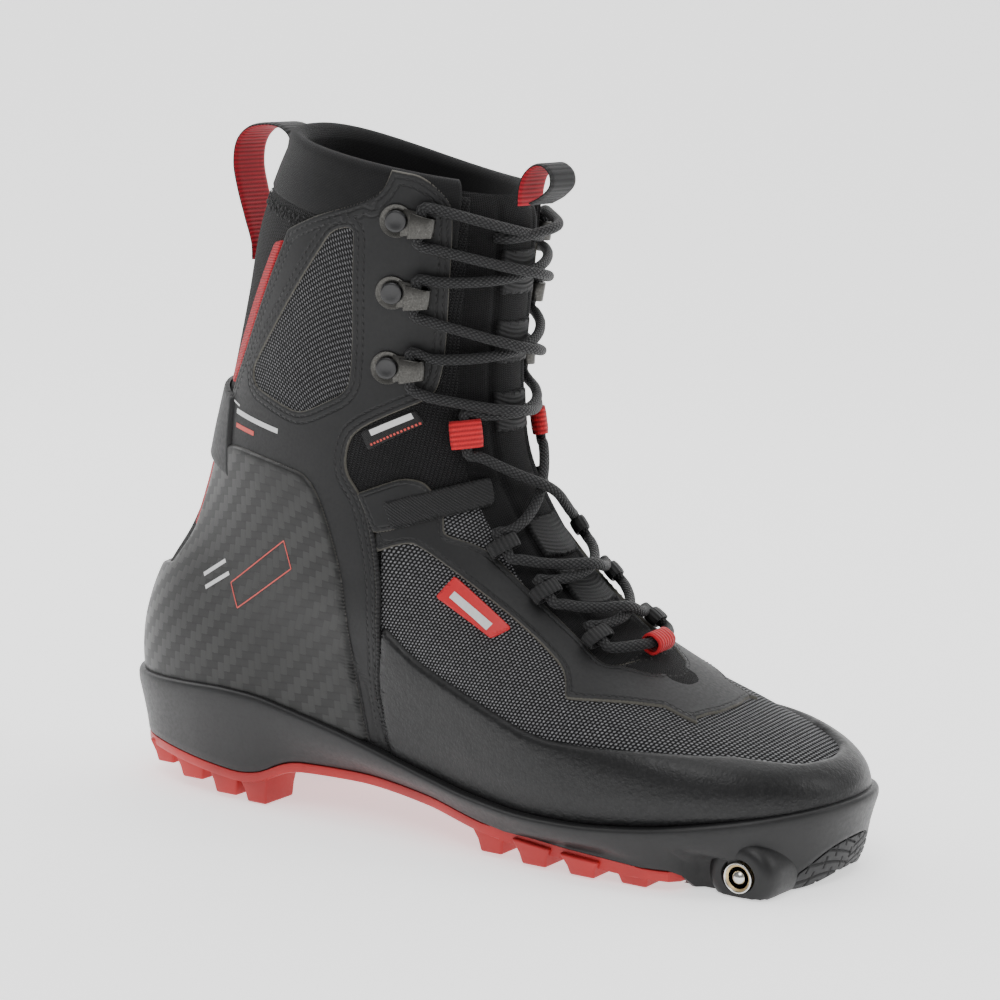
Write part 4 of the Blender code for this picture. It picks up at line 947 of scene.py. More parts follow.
def tonguePad():
    # Padded tongue: a stitched sheet blown up a little between its seams.
    pad = {"half": 0.235, "low": 0.43, "high": 0.99, "floor": -2.4}
    t = np.linspace(-1 - pad["half"], -1 + pad["half"], 61)
    v = np.linspace(pad["low"], pad["high"], 150)
    tt, vv = np.meshgrid(t, v, indexing="ij")
    across = np.clip(1 - ((tt + 1) / pad["half"]) ** 2, 0, 1)
    puff = 3.4 * across**0.6
    seams = np.exp(-(((np.abs(tt + 1) - 0.085) / 0.012) ** 2)) * np.clip((vv - 0.5) / 0.05, 0, 1)
    waves = 0.5 * np.sin(vv * 60) * across
    top = np.clip((vv - 0.955) / 0.035, 0, 1)
    puff = puff - 1.3 * seams * (1 - top) + 0.35 * waves - 3.5 * top**2
    obj = gridPiece("tongue_pad", t, v, pad["floor"] + puff, looks["knitFine"])
    thick = obj.modifiers.new("wall", "SOLIDIFY")
    thick.thickness = 3.0 * mm
    thick.offset = -1
    applyAll(obj)
    return obj


tonguePiece = tonguePad()
finish(tonguePiece, "boot", "tongue_black", "tongue")


def sectionBand(name, t, section, material, closed=False, wander=None):
    # A band round the boot with a cross-section of (v, lift, rise) points at each t.
    section = np.asarray(section, float)
    count = len(section)
    tt = np.repeat(t, count)
    vv = np.tile(section[:, 0], len(t))
    lift = np.tile(section[:, 1], len(t))
    rise = np.tile(section[:, 2], len(t))
    if wander:
        vv = vv + wander(tt)
    solid = lifted(tt, vv, lift)
    solid[:, 2] += rise
    faces = []
    for i in range(len(t) - 1):
        for j in range(count - 1):
            a, b = i * count + j, (i + 1) * count + j
            faces.append((a, b, b + 1, a + 1))
    for start in (0, (len(t) - 1) * count):
        faces.append(tuple(range(start, start + count)))
    obj = newMesh(name, solid, faces, material)
    evenNormals(obj)
    run = np.concatenate([[0], np.cumsum(np.linalg.norm(np.diff(solid[:count], axis=0), axis=1))])
    grain = np.column_stack([grainOf(tt, vv, 0.0)[:, 0], np.tile(run, len(t))])
    addGrain(obj, grain)
    return obj


roll = {"radius": 3.6, "outer": 1.0, "front": 0.80}
turnSteps = np.linspace(0, math.pi, 15)
middleLift = roll["outer"] - roll["radius"]
section = [(0.935, 0.2, 0), (0.938, 0.75, 0), (0.96, 1.0, 0), (0.98, 1.0, 0)]
section += [(0.985, middleLift + roll["radius"] * math.cos(a), 2.2 + roll["radius"] * math.sin(a))
    for a in turnSteps]
section += [(0.96, -6.3, 0), (0.9, -6.3, 0), (0.86, -6.0, 0)]
collarT = np.linspace(-roll["front"], roll["front"], 170)
collar = sectionBand("collar_roll", collarT, section, looks["collar"])
finish(collar, "boot", "collar_black", "collar_binding")

liningT = np.linspace(-1, 1, 160)
liningV = np.concatenate([np.linspace(0.05, 0.9, 60), [0.93, 0.96]])
lining = gridPiece("lining_pad", liningT, liningV, -5.4, looks["lining"], zero=0.0)
lining.data.flip_normals()
finish(lining, "boot", "lining_grey", "lining")
print("upper base ready")


# stitches

def stitchTemplate(length, radius):
    # One stitch: a thin rounded rod that dips at its ends.
    bpy.ops.mesh.primitive_uv_sphere_add(segments=6, ring_count=4, radius=1)
    obj = bpy.context.object
    points = np.array([v.co[:] for v in obj.data.vertices])
    faces = [tuple(p.vertices) for p in obj.data.polygons]
    bpy.data.objects.remove(obj, do_unlink=True)
    points = points[:, [2, 1, 0]] * (length / 2, radius, radius)
    points[:, 2] -= (points[:, 0] / (length / 2)) ** 2 * radius * 0.8
    return points, [f[::-1] for f in faces]


stitch = {"length": 2.0, "radius": 0.3, "pitch": 2.7}
stitchPoints, stitchFaces = stitchTemplate(stitch["length"], stitch["radius"])


def stitchRow(lines, lift):
    # Stitches along lines in (t, v); lift is the height of the face they lie on.
    allPoints, allFaces = [], []
    for line, clear, closed in lines:
        solid = face(line[:, 0], line[:, 1])
        normal = outward(line[:, 0], line[:, 1])
        keep = np.where(clear)[0]
        if len(keep) < 3:
            continue
        solid, normal = solid[keep], normal[keep]
        if closed:
            solid, normal = np.vstack([solid, solid[:1]]), np.vstack([normal, normal[:1]])
        lengths = np.linalg.norm(np.diff(solid, axis=0), axis=1)
        run = np.concatenate([[0], np.cumsum(lengths)])
        count = int(run[-1] / stitch["pitch"])
        if count < 1:
            continue
        where = (np.arange(count) + 0.5) * run[-1] / count
        half = stitch["length"] / 2
        at = [np.stack([np.interp(where + d, run, solid[:, k]) for k in range(3)], -1)
            for d in (-half, 0, half)]
        out = unit(np.stack([np.interp(where, run, normal[:, k]) for k in range(3)], -1))
        along = unit(at[2] - at[0])
        across = np.cross(out, along)
        base = at[1] + out * lift
        cloud = (base[:, None] + stitchPoints[None, :, :1] * along[:, None] + stitchPoints[None, :, 1:2]
            * across[:, None]
                 + stitchPoints[None, :, 2:] * out[:, None])
        start = sum(len(p) for p in allPoints)
        allPoints.append(cloud.reshape(-1, 3))
        for i in range(count):
            firstPoint = start + i * len(stitchPoints)
            allFaces += [tuple(firstPoint + k for k in f) for f in stitchFaces]
    return (np.vstack(allPoints) if allPoints else np.zeros((0, 3))), allFaces


def stitches(name, outlines, lift, distances, holes=(), slotName="overlay_black"):
    # Rows of stitches inside each outline, at distances from its edge.
    lines = []
    for outline in outlines:
        border = evenly(outline, 0.9)
        for distance in distances:
            moved, clear = insetLine(border, distance)
            lines.append((moved, clear, True))
    for hole in holes:
        border = evenly(hole, 0.9)
        for distance in distances:
            moved, clear = insetLine(border, -distance)
            lines.append((moved, clear, True))
    points, faces = stitchRow(lines, lift)
    obj = newMesh(name, points, faces, looks["thread"])
    return finish(obj, "boot", slotName)


# lines and tubes

def smoothLine(points, step):
    # A smooth line through points, with its own points evenly apart.
    points = np.asarray(points, float)
    ext = np.vstack([2 * points[0] - points[1], points, 2 * points[-1] - points[-2]])
    out = []
    for i in range(1, len(ext) - 2):
        p0, p1, p2, p3 = ext[i - 1:i + 3]
        knots = np.cumsum([0, *(max(np.linalg.norm(b - a), 1e-6) ** 0.5 for a,
            b in ((p0, p1), (p1, p2), (p2, p3)))])
        for s in np.linspace(knots[1], knots[2], 9)[:-1]:
            a1 = p0 + (p1 - p0) * (s - knots[0]) / (knots[1] - knots[0])
            a2 = p1 + (p2 - p1) * (s - knots[1]) / (knots[2] - knots[1])
            a3 = p2 + (p3 - p2) * (s - knots[2]) / (knots[3] - knots[2])
            b1 = a1 + (a2 - a1) * (s - knots[0]) / (knots[2] - knots[0])
            b2 = a2 + (a3 - a2) * (s - knots[1]) / (knots[3] - knots[1])
            out.append(b1 + (b2 - b1) * (s - knots[1]) / (knots[2] - knots[1]))
    out.append(points[-1])
    return resampled(np.array(out), step, closed=False)


def tube(name, line, radius, material, around=14):
    # A round tube along a line, with its grain once round and in millimetres along.
    line = np.asarray(line, float)
    run = unit(np.gradient(line, axis=0))
    normal = np.cross(run[0], (0, 0, 1.0))
    if np.linalg.norm(normal) < 0.1:
        normal = np.cross(run[0], (0, 1.0, 0))
    normal = unit(normal)
    frames = []
    for direction in run:
        normal = unit(normal - direction * np.dot(normal, direction))
        frames.append((normal, np.cross(direction, normal)))
    turns = np.linspace(0, 2 * math.pi, around + 1)
    points = np.vstack([line[i] + radius * (np.cos(turns)[:, None] * a + np.sin(turns)[:, None] * b)
                        for i, (a, b) in enumerate(frames)])
    count = around + 1
    faces = [(i * count + k, i * count + k + 1, (i + 1) * count + k + 1, (i + 1) * count + k)
             for i in range(len(line) - 1) for k in range(around)]
    obj = newMesh(name, points, faces, material)
    lengths = np.concatenate([[0], np.cumsum(np.linalg.norm(np.diff(line, axis=0), axis=1))])
    grain = np.column_stack([np.tile(np.linspace(0, 1, count), len(line)), np.repeat(lengths, count)])
    addGrain(obj, grain)
    focus(obj)
    bpy.ops.object.mode_set(mode="EDIT")
    bpy.ops.mesh.select_all(action="SELECT")
    bpy.ops.mesh.remove_doubles(threshold=1e-6)
    bpy.ops.mesh.normals_make_consistent(inside=False)
    bpy.ops.mesh.select_all(action="DESELECT")
    bpy.ops.mesh.select_non_manifold(extend=False)
    bpy.ops.mesh.fill_holes(sides=0)
    bpy.ops.object.mode_set(mode="OBJECT")
    return obj, lengths[-1]


# skins of the upper

cuffLine = [(-9.5, 240.5, 1.5), (0, 236.5, 6), (5.5, 229, 4), (6, 222), (3.5, 194), (0.5, 170),
(-1.5, 161, 3), (-4, 158, 4),
            (-27, 147, 10), (-31, 141, 8), (-32, 131, 8), (-25, 123), (-20, 106), (-17, 89), (-16.6, 71),
            (-18.5, 52),
            (-12.5, 28, 2), (-27, 28, 2), (-33, 60), (-37, 89), (-46, 112), (-52, 122), (-60, 126),
            (-86, 131), (-96, 130, 4),
            (-103, 133, 3), (-98, 145), (-92, 158), (-84, 170), (-72, 190), (-60, 208, 6), (-56.5, 213.5, 2),
            (-55, 217, 1.5), (-39, 223, 8), (-20, 228, 12), (-13.5, 232, 3)]
windowLine = [(-24.5, 219, 3), (-33, 217.5, 4), (-38, 211, 6), (-55, 191), (-77, 165, 3), (-76, 159, 4),
              (-53, 151.5, 6), (-47, 152.5, 6), (-31, 160, 5), (-28.5, 168)]
cuff = sideOutline(cuffLine)
window = sideOutline(windowLine)
for side in ("lateral", "medial"):
    outline, hole = (cuff, window) if side == "lateral" else (mirrored(cuff), mirrored(window))
    piece = panel(f"cuff_{side}", outline, 0.0, 1.15, looks["overlay"], rim=0.55, holes=[hole], zero=-0.5)
    finish(piece, "boot", "overlay_black", f"cuff_overlay_{side}")
    pane = panel(f"window_{side}", evenly(insetLine(evenly(hole, 1.3), -2.0)[0], 1.3), 0.0, 0.55,
        looks["window"],
                 rim=0.8, zero=-0.5, shape=lambda t, v, edge: 0.35 * np.clip((edge - 2) / 10, 0, 1))
    finish(pane, "boot", "mesh_grey", f"window_mesh_{side}")
    stitches(f"cuff_stitches_{side}", [outline], 1.12, (2.0, 4.3), [hole])

pipingLine = [(-57.5, 213, 1), (-63.0, 212, 1), (-78.6, 190), (-90.6, 170), (-97, 158), (-93, 157),
(-84, 170), (-72, 190)]
lowerPiping = [(-105.5, 127, 1), (-112.5, 125.5, 1), (-119.5, 101, 1), (-117.5, 100, 1)]
for side in ("lateral", "medial"):
    for name, line in (("piping_upper", pipingLine), ("piping_lower", lowerPiping)):
        outline = sideOutline(line, 1.0)
        outline = outline if side == "lateral" else mirrored(outline)
        piece = panel(f"{name}_{side}", outline, 0.0, 1.0 if name == "piping_upper" else 0.9,
            looks["piping"], rim=0.7,
                      gap=1.6)
        finish(piece, "boot", "piping_red", *([f"piping_{side}"] if name == "piping_upper" else []))

# heel counter round the back: its front edge on the outer side, mirrored
counterFront = [(-24, 34, 2), (-26, 42), (-29, 60), (-31, 89), (-40, 116), (-46, 127), (-53, 131),
(-89, 136.3, 12), (-98, 133, 4),
                (-104.5, 127, 2), (-115.5, 101)]
frontLine = locate(resampled(rounded(counterFront, closed=False), 1.3, closed=False))
backTop = np.array([(-0.14, 0.335), (-0.09, 0.318), (-0.04, 0.31), (0.0, 0.31)])
lateralEdge = np.vstack([frontLine, evenly(np.vstack([frontLine[-1], backTop]), 2.0, closed=False)[1:]])
counterBottom = lowRow(np.linspace(-frontLine[0, 0], frontLine[0, 0], 60), 5.0)
counterOutline = np.vstack([lateralEdge, mirrored(lateralEdge)[1:], counterBottom[1:-1]])
counter = panel("counter", counterOutline, 0.0, 2.3, looks["counter"], rim=1.5, zero=-0.3)
finish(counter, "boot", "counter_twill", "heel_counter")

# the collar over the counter's top edge: a dark groove where the two overlap comes from the counter's rim
stayV = lambda z: float(np.interp(z, [face(0.0, k / 200)[2] for k in range(201)], np.arange(201) / 200))
stayLow, stayHigh = stayV(129.5), stayV(157.5)
stayOutline = np.vstack([
    np.stack([np.linspace(-0.24, 0.24, 30), np.full(30, stayHigh)], -1),
    np.stack([np.linspace(0.26, -0.26, 30), np.full(30, stayLow)], -1)])
stay = panel("stay", stayOutline, 0.6, 1.9, looks["stay"], rim=1.2)
finish(stay, "boot", "stay_rubber", "back_stay")

# rand round the toe
randTopLine = [(-14.5, 29, 1), (-19, 52, 20), (-16, 71), (-14, 77.5, 2), (-2, 68), (12, 62), (37, 53),
    (54, 47.5), (73, 46.5), (93, 46.5),
               (118, 44.6)]
topLine = locate(resampled(rounded(randTopLine, closed=False), 1.3, closed=False))
toeTop = np.array([(-0.93, 0.222), (-1.0, 0.219)])
edgeLine = np.vstack([topLine, evenly(np.vstack([topLine[-1], toeTop]), 2.0, closed=False)[1:]])
randEdge = np.vstack([edgeLine, np.column_stack([-2 - edgeLine[::-1, 0], edgeLine[::-1, 1]])[1:]])
randBottom = lowRow(np.linspace(-2 - topLine[0, 0], topLine[0, 0], 120), 5.0)
rand = panel("rand", np.vstack([randEdge, randBottom[1:-1]]), 0.0, 1.9, looks["rand"], rim=2.2, zero=-1.0,
             shape=lambda t, v, edge: 1.2 * np.clip((edge - 1) / 18, 0, 1) ** 0.7)
finish(rand, "boot", "rand_leather", "toe_rand")

# eyestay yoke: outer edge, round the front, inner edge
yokeOuter = [(-19.5, 103, 1), (-8, 107.5), (-2, 106.5), (33, 84), (56.5, 67.5, 5), (60.5, 60, 1.2),
    (77, 59.3, 12), (88.5, 57, 1.2)]
yokeInner = [(-19.5, 120, 1), (-6, 121, 3), (4, 118.5, 2), (5, 111, 2), (18, 107, 6), (39, 88),
    (63, 69.5, 6), (67.5, 68.2, 3), (70.5, 69.2)]
outer = locate(resampled(rounded(yokeOuter, closed=False), 1.3, closed=False))
inner = locate(resampled(rounded(yokeInner, closed=False), 1.3, closed=False))
frontOuter = np.array([(-0.885, 0.352), (-0.9, 0.368), (-0.93, 0.376), (-1.0, 0.38)])
frontInner = np.array([(-0.885, 0.468), (-0.93, 0.456), (-1.0, 0.45)])
outerLine = np.vstack([outer, frontOuter])
innerLine = np.vstack([inner, frontInner])
yokeOutline = np.vstack([outerLine, np.column_stack([-2 - outerLine[-2::-1, 0], outerLine[-2::-1, 1]]),
                         np.column_stack([-2 - innerLine[:-1, 0], innerLine[:-1, 1]]), innerLine[::-1]])
yoke = panel("yoke", yokeOutline, 0.0, 1.1, looks["oneRow"], rim=0.55, zero=-1.0)
finish(yoke, "boot", "overlay_black", "eyestay_yoke")
stitches("yoke_stitches", [yokeOutline], 1.07, (1.9,))

strapLine = [(-17, 121.5, 1.5), (13, 130, 1), (16.5, 120.5, 1), (-13, 111.5, 1.5)]
patchLine = [(-27, 124, 1), (-10, 130.5, 4), (-3, 129, 3), (4, 119.5, 2), (0, 116), (-14, 111, 2),
    (-20, 110, 1)]
labelLine = [(-26, 146, 0.6), (-7.5, 154.5, 0.6), (-4.5, 149.5, 0.6), (-23, 139.5, 0.6)]
redLabelLine = [(11, 97, 0.4), (34, 80.5, 0.4), (28.5, 77, 0.4), (5.5, 89.5, 0.4)]
for side in ("lateral", "medial"):
    turned = (lambda o: o) if side == "lateral" else mirrored
    patch = panel(f"anchor_patch_{side}", turned(sideOutline(patchLine)), 0.2, 1.7, looks["oneRow"],
        rim=0.6, gap=1.6)
    finish(patch, "boot", "overlay_black")
    stitches(f"anchor_stitches_{side}", [turned(sideOutline(patchLine))], 1.87, (1.6,))
    strap = panel(f"ankle_tape_{side}", turned(sideOutline(strapLine)), 0.8, 1.7, looks["webbingBlack"],
        rim=0.6, gap=1.4,
                  zero=-0.6 if side == "lateral" else 0.6)
    finish(strap, "boot", "webbing_black", f"ankle_strap_{side}")
label = panel("woven_label", sideOutline(labelLine), 0.0, 0.8, looks["labelBlack"], rim=0.5, gap=1.2)
finish(label, "boot", "softshell_black")
redLabel = panel("red_label", sideOutline(redLabelLine), 0.0, 1.1, looks["labelRed"], rim=0.4, gap=1.5)
finish(redLabel, "boot", "webbing_red")


def ribbon(name, lines, width, lift, material, slotName):
    # Flat printed lines on the outer side, each a list of (x, z) points in side view.
    points, faces = [], []
    for line in lines:
        line = resampled(np.asarray(line, float), 1.0, closed=False)
        run = unit(np.gradient(line, axis=0))
        side = np.stack([-run[:, 1], run[:, 0]], -1) * width / 2
        edges = [locate(line + side), locate(line - side)]
        start = sum(len(p) for p in points)
        count = len(line)
        for edge in edges:
            points.append(lifted(edge[:, 0], edge[:, 1], np.full(count, lift)))
        faces += [(start + k, start + k + 1, start + count + k + 1, start + count + k)
        for k in range(count - 1)]
    obj = newMesh(name, np.vstack(points), faces, material)
    work = bmesh.new()
    work.from_mesh(obj.data)
    bmesh.ops.recalc_face_normals(work, faces=work.faces)
    if sum(f.normal.y for f in work.faces) > 0:
        bmesh.ops.reverse_faces(work, faces=work.faces)
    work.to_mesh(obj.data)
    work.free()
    return finish(obj, "boot", slotName)


def along(start, end, low, high):
    # A line between two shares of the way from start to end.
    start, end = np.array(start, float), np.array(end, float)
    return [tuple(start + (end - start) * low), tuple(start + (end - start) * high)]


frameCorners = [(-88, 84), (-59.5, 103.5), (-56, 93.5), (-84.5, 75), (-88, 84)]
frameLines = [along(a, b, 0, 1) for a, b in zip(frameCorners, frameCorners[1:])]
ribbon("counter_frame", frameLines, 0.45, 2.42, looks["printRed"], "counter_twill")
ribbon("counter_marks", [along((-104, 84.5), (-91, 92), 0, 0.96),
    along((-102.5, 80), (-89, 87.5), 0, 0.98)], 1.5, 2.42,
       looks["print"], "counter_twill")
ribbon("cuff_rule", [along((-95, 152.6), (-86, 150), 0, 1)], 0.7, 1.26, looks["print"], "overlay_black")
ribbon("cuff_mark", [along((-88, 148), (-62, 143.5), 0, 1)], 1.9, 1.26, looks["print"], "overlay_black")
ribbon("cuff_mark_red", [along((-88, 142.8), (-76, 141), 0, 1)], 1.7, 1.26, looks["printRed"],
    "overlay_black")
ribbon("label_mark", [along((-23.5, 145.2), (-7, 153), 0.08, 0.92)], 2.2, 0.9, looks["print"],
    "softshell_black")
dots = [along((-22, 141.6), (-5.2, 150), k / 15, (k + 0.55) / 15) for k in range(15)]
ribbon("label_dots", dots, 0.8, 0.9, looks["printRed"], "softshell_black")
ribbon("red_label_mark", [along((8.5, 92.6), (30, 78.4), 0.14, 0.86)], 2.6, 1.2, looks["print"],
    "webbing_red")

# the rolled seam down the front edge of the strip between counter and rand
seamLine = resampled(smoothLine([(-24.6, 0, 123), (-19.6, 0, 106), (-16.6, 0, 89), (-16.2, 0, 71),
    (-18.0, 0, 52), (-14.6, 0, 38), (-12.6, 0, 31)], 1.2), 1.2,
                     closed=False)
for side in ("lateral", "medial"):
    places = locate(seamLine[:, ::2])
    if side == "medial":
        places = mirrored(places)
        places = places[::-1] if places[0, 1] < places[-1, 1] else places
    line = lifted(places[:, 0], places[:, 1], np.full(len(places), 0.9))
    piece, _ = tube(f"strip_seam_{side}", line, 0.95, looks["webbingBlack"], 10)
    finish(piece, "boot", "overlay_black")

# zigzag seam under the collar's edge
zigzag = {"row": 0.922, "half": 0.006, "count": 168, "end": 0.78}
zigT = np.linspace(-zigzag["end"], zigzag["end"], zigzag["count"])
zigV = zigzag["row"] + zigzag["half"] * (-1.0) ** np.arange(zigzag["count"])
seamPoints, seamFaces = stitchRow([(np.column_stack([zigT, zigV]), np.full(zigzag["count"], True),
    False)], 0.5)
zig = newMesh("collar_zigzag", seamPoints, seamFaces, looks["thread"])
finish(zig, "boot", "collar_black")
print("skins ready")


# lacing

def loopSection(halfLength, halfHeight, corners=28):
    turns = np.linspace(0, 2 * math.pi, corners, endpoint=False)
    power = 2 / 2.6
    return [(halfLength * np.sign(math.cos(a)) * abs(math.cos(a)) ** power,
             halfHeight * np.sign(math.sin(a)) * abs(math.sin(a)) ** power) for a in turns]


def ringPiece(name, outer, inner, material, grainScale=1.0):
    # A closed ring between two sets of cross-sections, outer and inner, each from one side to the
    # other.
    count = len(outer[0])
    rows = [np.asarray(r, float) for r in outer] + [np.asarray(r, float) for r in inner[::-1]]
    points = np.vstack(rows)
    faces = []
    total = len(rows)
    for i in range(total):
        j = (i + 1) % total
        for k in range(count):
            n = (k + 1) % count
            faces.append((i * count + k, j * count + k, j * count + n, i * count + n))
    obj = newMesh(name, points, faces, material)
    evenNormals(obj)
    run = np.concatenate([[0], np.cumsum(np.linalg.norm(np.diff(rows[0], axis=0), axis=1))])
    across = [i * 1.0 for i in range(len(outer))] + [i * 1.0 for i in range(len(inner))][::-1]
    grain = np.vstack([np.column_stack([np.full(count, a * grainScale), run]) for a in across])
    addGrain(obj, grain)
    return obj


lacing = {"radius": 1.9, "slide": 0.25, "floor": 2.8, "loopWall": 0.9, "level": 5.1, "run": 4.2,
          "loops": ((0.875, 0.5), (0.845, 0.558), (0.82, 0.612)), "red": (0.83, 0.742),
          "hooks": ((0.665, 0.8), (0.665, 0.88), (0.655, 0.952)), "end": (0.9, 0.948), "tabRow": 0.484}


def laceLoop(name, t, v, width, material, length=12.0):
    high = lacing["radius"] + lacing["slide"]
    middle = lacing["floor"] + high
    outer, inner = [], []
    for half in np.linspace(-width / 2, width / 2, 5):
        ease = 0.25 if abs(half) > width / 2 - 0.01 else 0.0
        outer.append(onFace(t, v, [(a, half, middle + b) for a, b in
                                   loopSection(length / 2 - ease, high + lacing["loopWall"] - ease)]))
        inner.append(onFace(t, v, [(a, half, middle + b) for a, b in
                                   loopSection(length / 2 - lacing["loopWall"], high)]))
    return ringPiece(name, outer, inner, material, width / 4)


for side, sign in (("lateral", -1), ("medial", 1)):
    for number, (t, v) in enumerate(lacing["loops"], 1):
        piece = laceLoop(f"loop_{number}_{side}", sign * t, v, 5.0, looks["webbingBlack"])
        finish(piece, "boot", "webbing_black", f"lace_loop_{number}_{side}")
    piece = laceLoop(f"loop_red_{side}", sign * lacing["red"][0], lacing["red"][1], 10.0, looks["webbingRed"])
    finish(piece, "boot", "webbing_red", f"lace_loop_red_{side}")


def toeTab():
    high = lacing["radius"] + lacing["slide"] + 0.5
    middle = 2.8 + 0.5 + high
    outer, inner = [], []
    for half in np.linspace(-5.5, 5.5, 6):
        outer.append(onFace(1.0, lacing["tabRow"], [(half, a, middle + b) for a,
        b in loopSection(3.9, high + 0.9)]))
        inner.append(onFace(1.0, lacing["tabRow"], [(half, a, middle + b) for a,
            b in loopSection(3.0, high)]))
    return ringPiece("toe_tab", outer, inner, looks["webbingRed"], 2.2)


finish(toeTab(), "boot", "webbing_red", "lace_tab_toe")

hook = {"plate": 1.1, "width": 8.6, "wide": 10.0, "disc": 5.9, "arm": 13.0, "lip": 5.6, "seat": 1.15}


def hookPiece(name):
    # A plate with a ring base, folded forward over itself, in millimetres as (forward, up, out).
    inside = lacing["radius"] + 0.2
    turnX = hook["arm"] - inside
    middle = hook["plate"] + inside
    turns = np.radians(np.linspace(-90, 90, 9))
    outerArc = [(turnX + (inside + hook["plate"]) * math.cos(a), middle + (inside + hook["plate"])
        * math.sin(a)) for a in turns]
    innerArc = [(turnX + inside * math.cos(a), middle + inside * math.sin(a)) for a in turns[::-1]]
    tip = turnX - hook["lip"]
    profile = [(2.0, 0)] + outerArc + [(tip, middle + inside + hook["plate"] + 0.3),
        (tip, middle + inside)] + innerArc
    profile += [(2.0, hook["plate"])]
    count = len(profile)

    def halfWidth(a, b):
        # narrower over the fold, so that the front is a tapered tongue
        far = np.clip((a - 3) / 9, 0, 1)
        return hook["wide"] / 2 * (1.0 - 0.3 * far)

    rows = [[(a, s * halfWidth(a, b), b) for a, b in profile] for s in (-1, 1)]
    faces = [tuple(range(count)), tuple(range(2 * count - 1, count - 1, -1))]
    faces += [(k, (k + 1) % count, (k + 1) % count + count, k + count) for k in range(count)]
    obj = newMesh(name, np.vstack(rows), faces, looks["hook"], drawn=False)
    evenNormals(obj)
    bevelled(obj, 0.28, 2, 30)
    bpy.ops.mesh.primitive_cylinder_add(vertices=48, radius=hook["disc"] * mm, depth=hook["plate"] * mm,
                                        location=(0, 0, hook["plate"] / 2 * mm))
    disc = bpy.context.object
    settle(disc)
    disc.data.materials.append(looks["hook"])
    bpy.ops.object.mode_set(mode="EDIT")
    bpy.ops.mesh.select_all(action="DESELECT")
    work = bmesh.from_edit_mesh(disc.data)
    for f in work.faces:
        f.select = f.normal.z > 0.9
    bmesh.update_edit_mesh(disc.data)
    bpy.ops.mesh.inset(thickness=1.35 * mm)
    bpy.ops.transform.translate(value=(0, 0, -0.45 * mm))
    bpy.ops.object.mode_set(mode="OBJECT")
    bevelled(disc, 0.22, 2, 30)
    focus(obj, disc)
    bpy.ops.object.join()
    return obj


def rivetPiece(name):
    bpy.ops.mesh.primitive_cylinder_add(vertices=48, radius=3.9 * mm, depth=1.6 * mm,
    location=(0, 0, 0.8 * mm))
    obj = bpy.context.object
    obj.name = name
    settle(obj)
    obj.data.materials.append(looks["rivet"])
    bpy.ops.object.mode_set(mode="EDIT")
    bpy.ops.mesh.select_all(action="DESELECT")
    work = bmesh.from_edit_mesh(obj.data)
    for f in work.faces:
        f.select = f.normal.z > 0.9
    bmesh.update_edit_mesh(obj.data)
    bpy.ops.mesh.inset(thickness=0.9 * mm)
    bpy.ops.transform.translate(value=(0, 0, 0.12 * mm))
    bpy.ops.mesh.inset(thickness=1.0 * mm)
    bpy.ops.transform.translate(value=(0, 0, -0.25 * mm))
    bpy.ops.object.mode_set(mode="OBJECT")
    bevelled(obj, 0.4, 3, 30)
    return obj


for side, sign in (("lateral", -1), ("medial", 1)):
    for number, (t, v) in enumerate(lacing["hooks"], 1):
        piece = hookPiece(f"lace_hook_{number}_{side}")
        seat(piece, sign * t, v, hook["seat"])
        finish(piece, "boot", "hook_gunmetal", f"hook_{number}_{side}")
        piece = rivetPiece(f"hook_rivet_{number}_{side}")
        seat(piece, sign * t, v, hook["seat"] + 0.65)
        finish(piece, "boot", "rivet_black", f"rivet_{number}_{side}")


def laceRows():
    # Each side row of the lace from toe to collar, as (t, v, ahead, half, out, turn, rise).
    inLoop = lacing["floor"] + lacing["radius"] + lacing["slide"]
    inHook = hook["seat"] + hook["plate"] + lacing["radius"] + 0.2
    ahead = hook["arm"] - lacing["radius"] * 2 - 0.4
    held = [(t, v, inLoop, 0.0, 2.5) for t, v in lacing["loops"]]
    held.append((*lacing["red"], inLoop, 0.0, 5.0))
    held += [(t, v, inHook, ahead, hook["width"] / 2 * 0.85) for t, v in lacing["hooks"]]
    rows = []
    for t, v, out, forward, width in held:
        a, b = slopes(np.array([t]), np.array([v]))
        half = width + lacing["run"]
        rows.append((t, v, forward, half, out, forward / np.linalg.norm(a), half / np.linalg.norm(b)))
    return rows


def laceCrossing(start, end, sign, over):
    level = lacing["level"] - 0.2
    arch = 2 * lacing["radius"] + 0.15 if over else 0.0
    shares = (0.1, 0.22, 0.34, 0.43, 0.5, 0.57, 0.66, 0.78, 0.9)
    points = []
    for share in shares:
        eased = share * share * (3 - 2 * share)
        t = start[0] + (2 - end[0] - start[0]) * (0.45 * eased + 0.55 * share)
        v = start[1] + (end[1] - start[1]) * eased
        low = level + (start[2] + (end[2] - start[2]) * share - level) * abs(2 * share - 1) ** 3
        lift = arch * math.exp(-(((share - 0.5) / 0.17) ** 2))
        at = lifted(np.array([sign * t]), np.array([v]), np.array([low + lift]))[0]
        points.append(at)
    return points


def laceHalf(sign, firstOver):
    rows = laceRows()
    points = []
    for i, (t, v, forward, half, out, turn, rise) in enumerate(rows):
        points += list(onFace(sign * t, v, [(forward, s * half, out) for s in (-0.8, -0.4, 0, 0.4, 0.8)]))
        over = (i % 2 == 0) == firstOver
        leaves = (t + turn, v + rise * 0.8, out)
        if i + 1 < len(rows):
            t, v, _, _, out, turn, rise = rows[i + 1]
            points += laceCrossing(leaves, (t + turn, v - rise * 0.8, out), sign, over)
        else:
            tucked = (*lacing["end"], lacing["level"] - 3.5)
            points += laceCrossing(leaves, tucked, sign, over)
        sign = -sign
    points.append(lifted(np.array([sign * tucked[0]]), np.array([tucked[1]]), np.array([tucked[2] - 1.5]))[0])
    return points


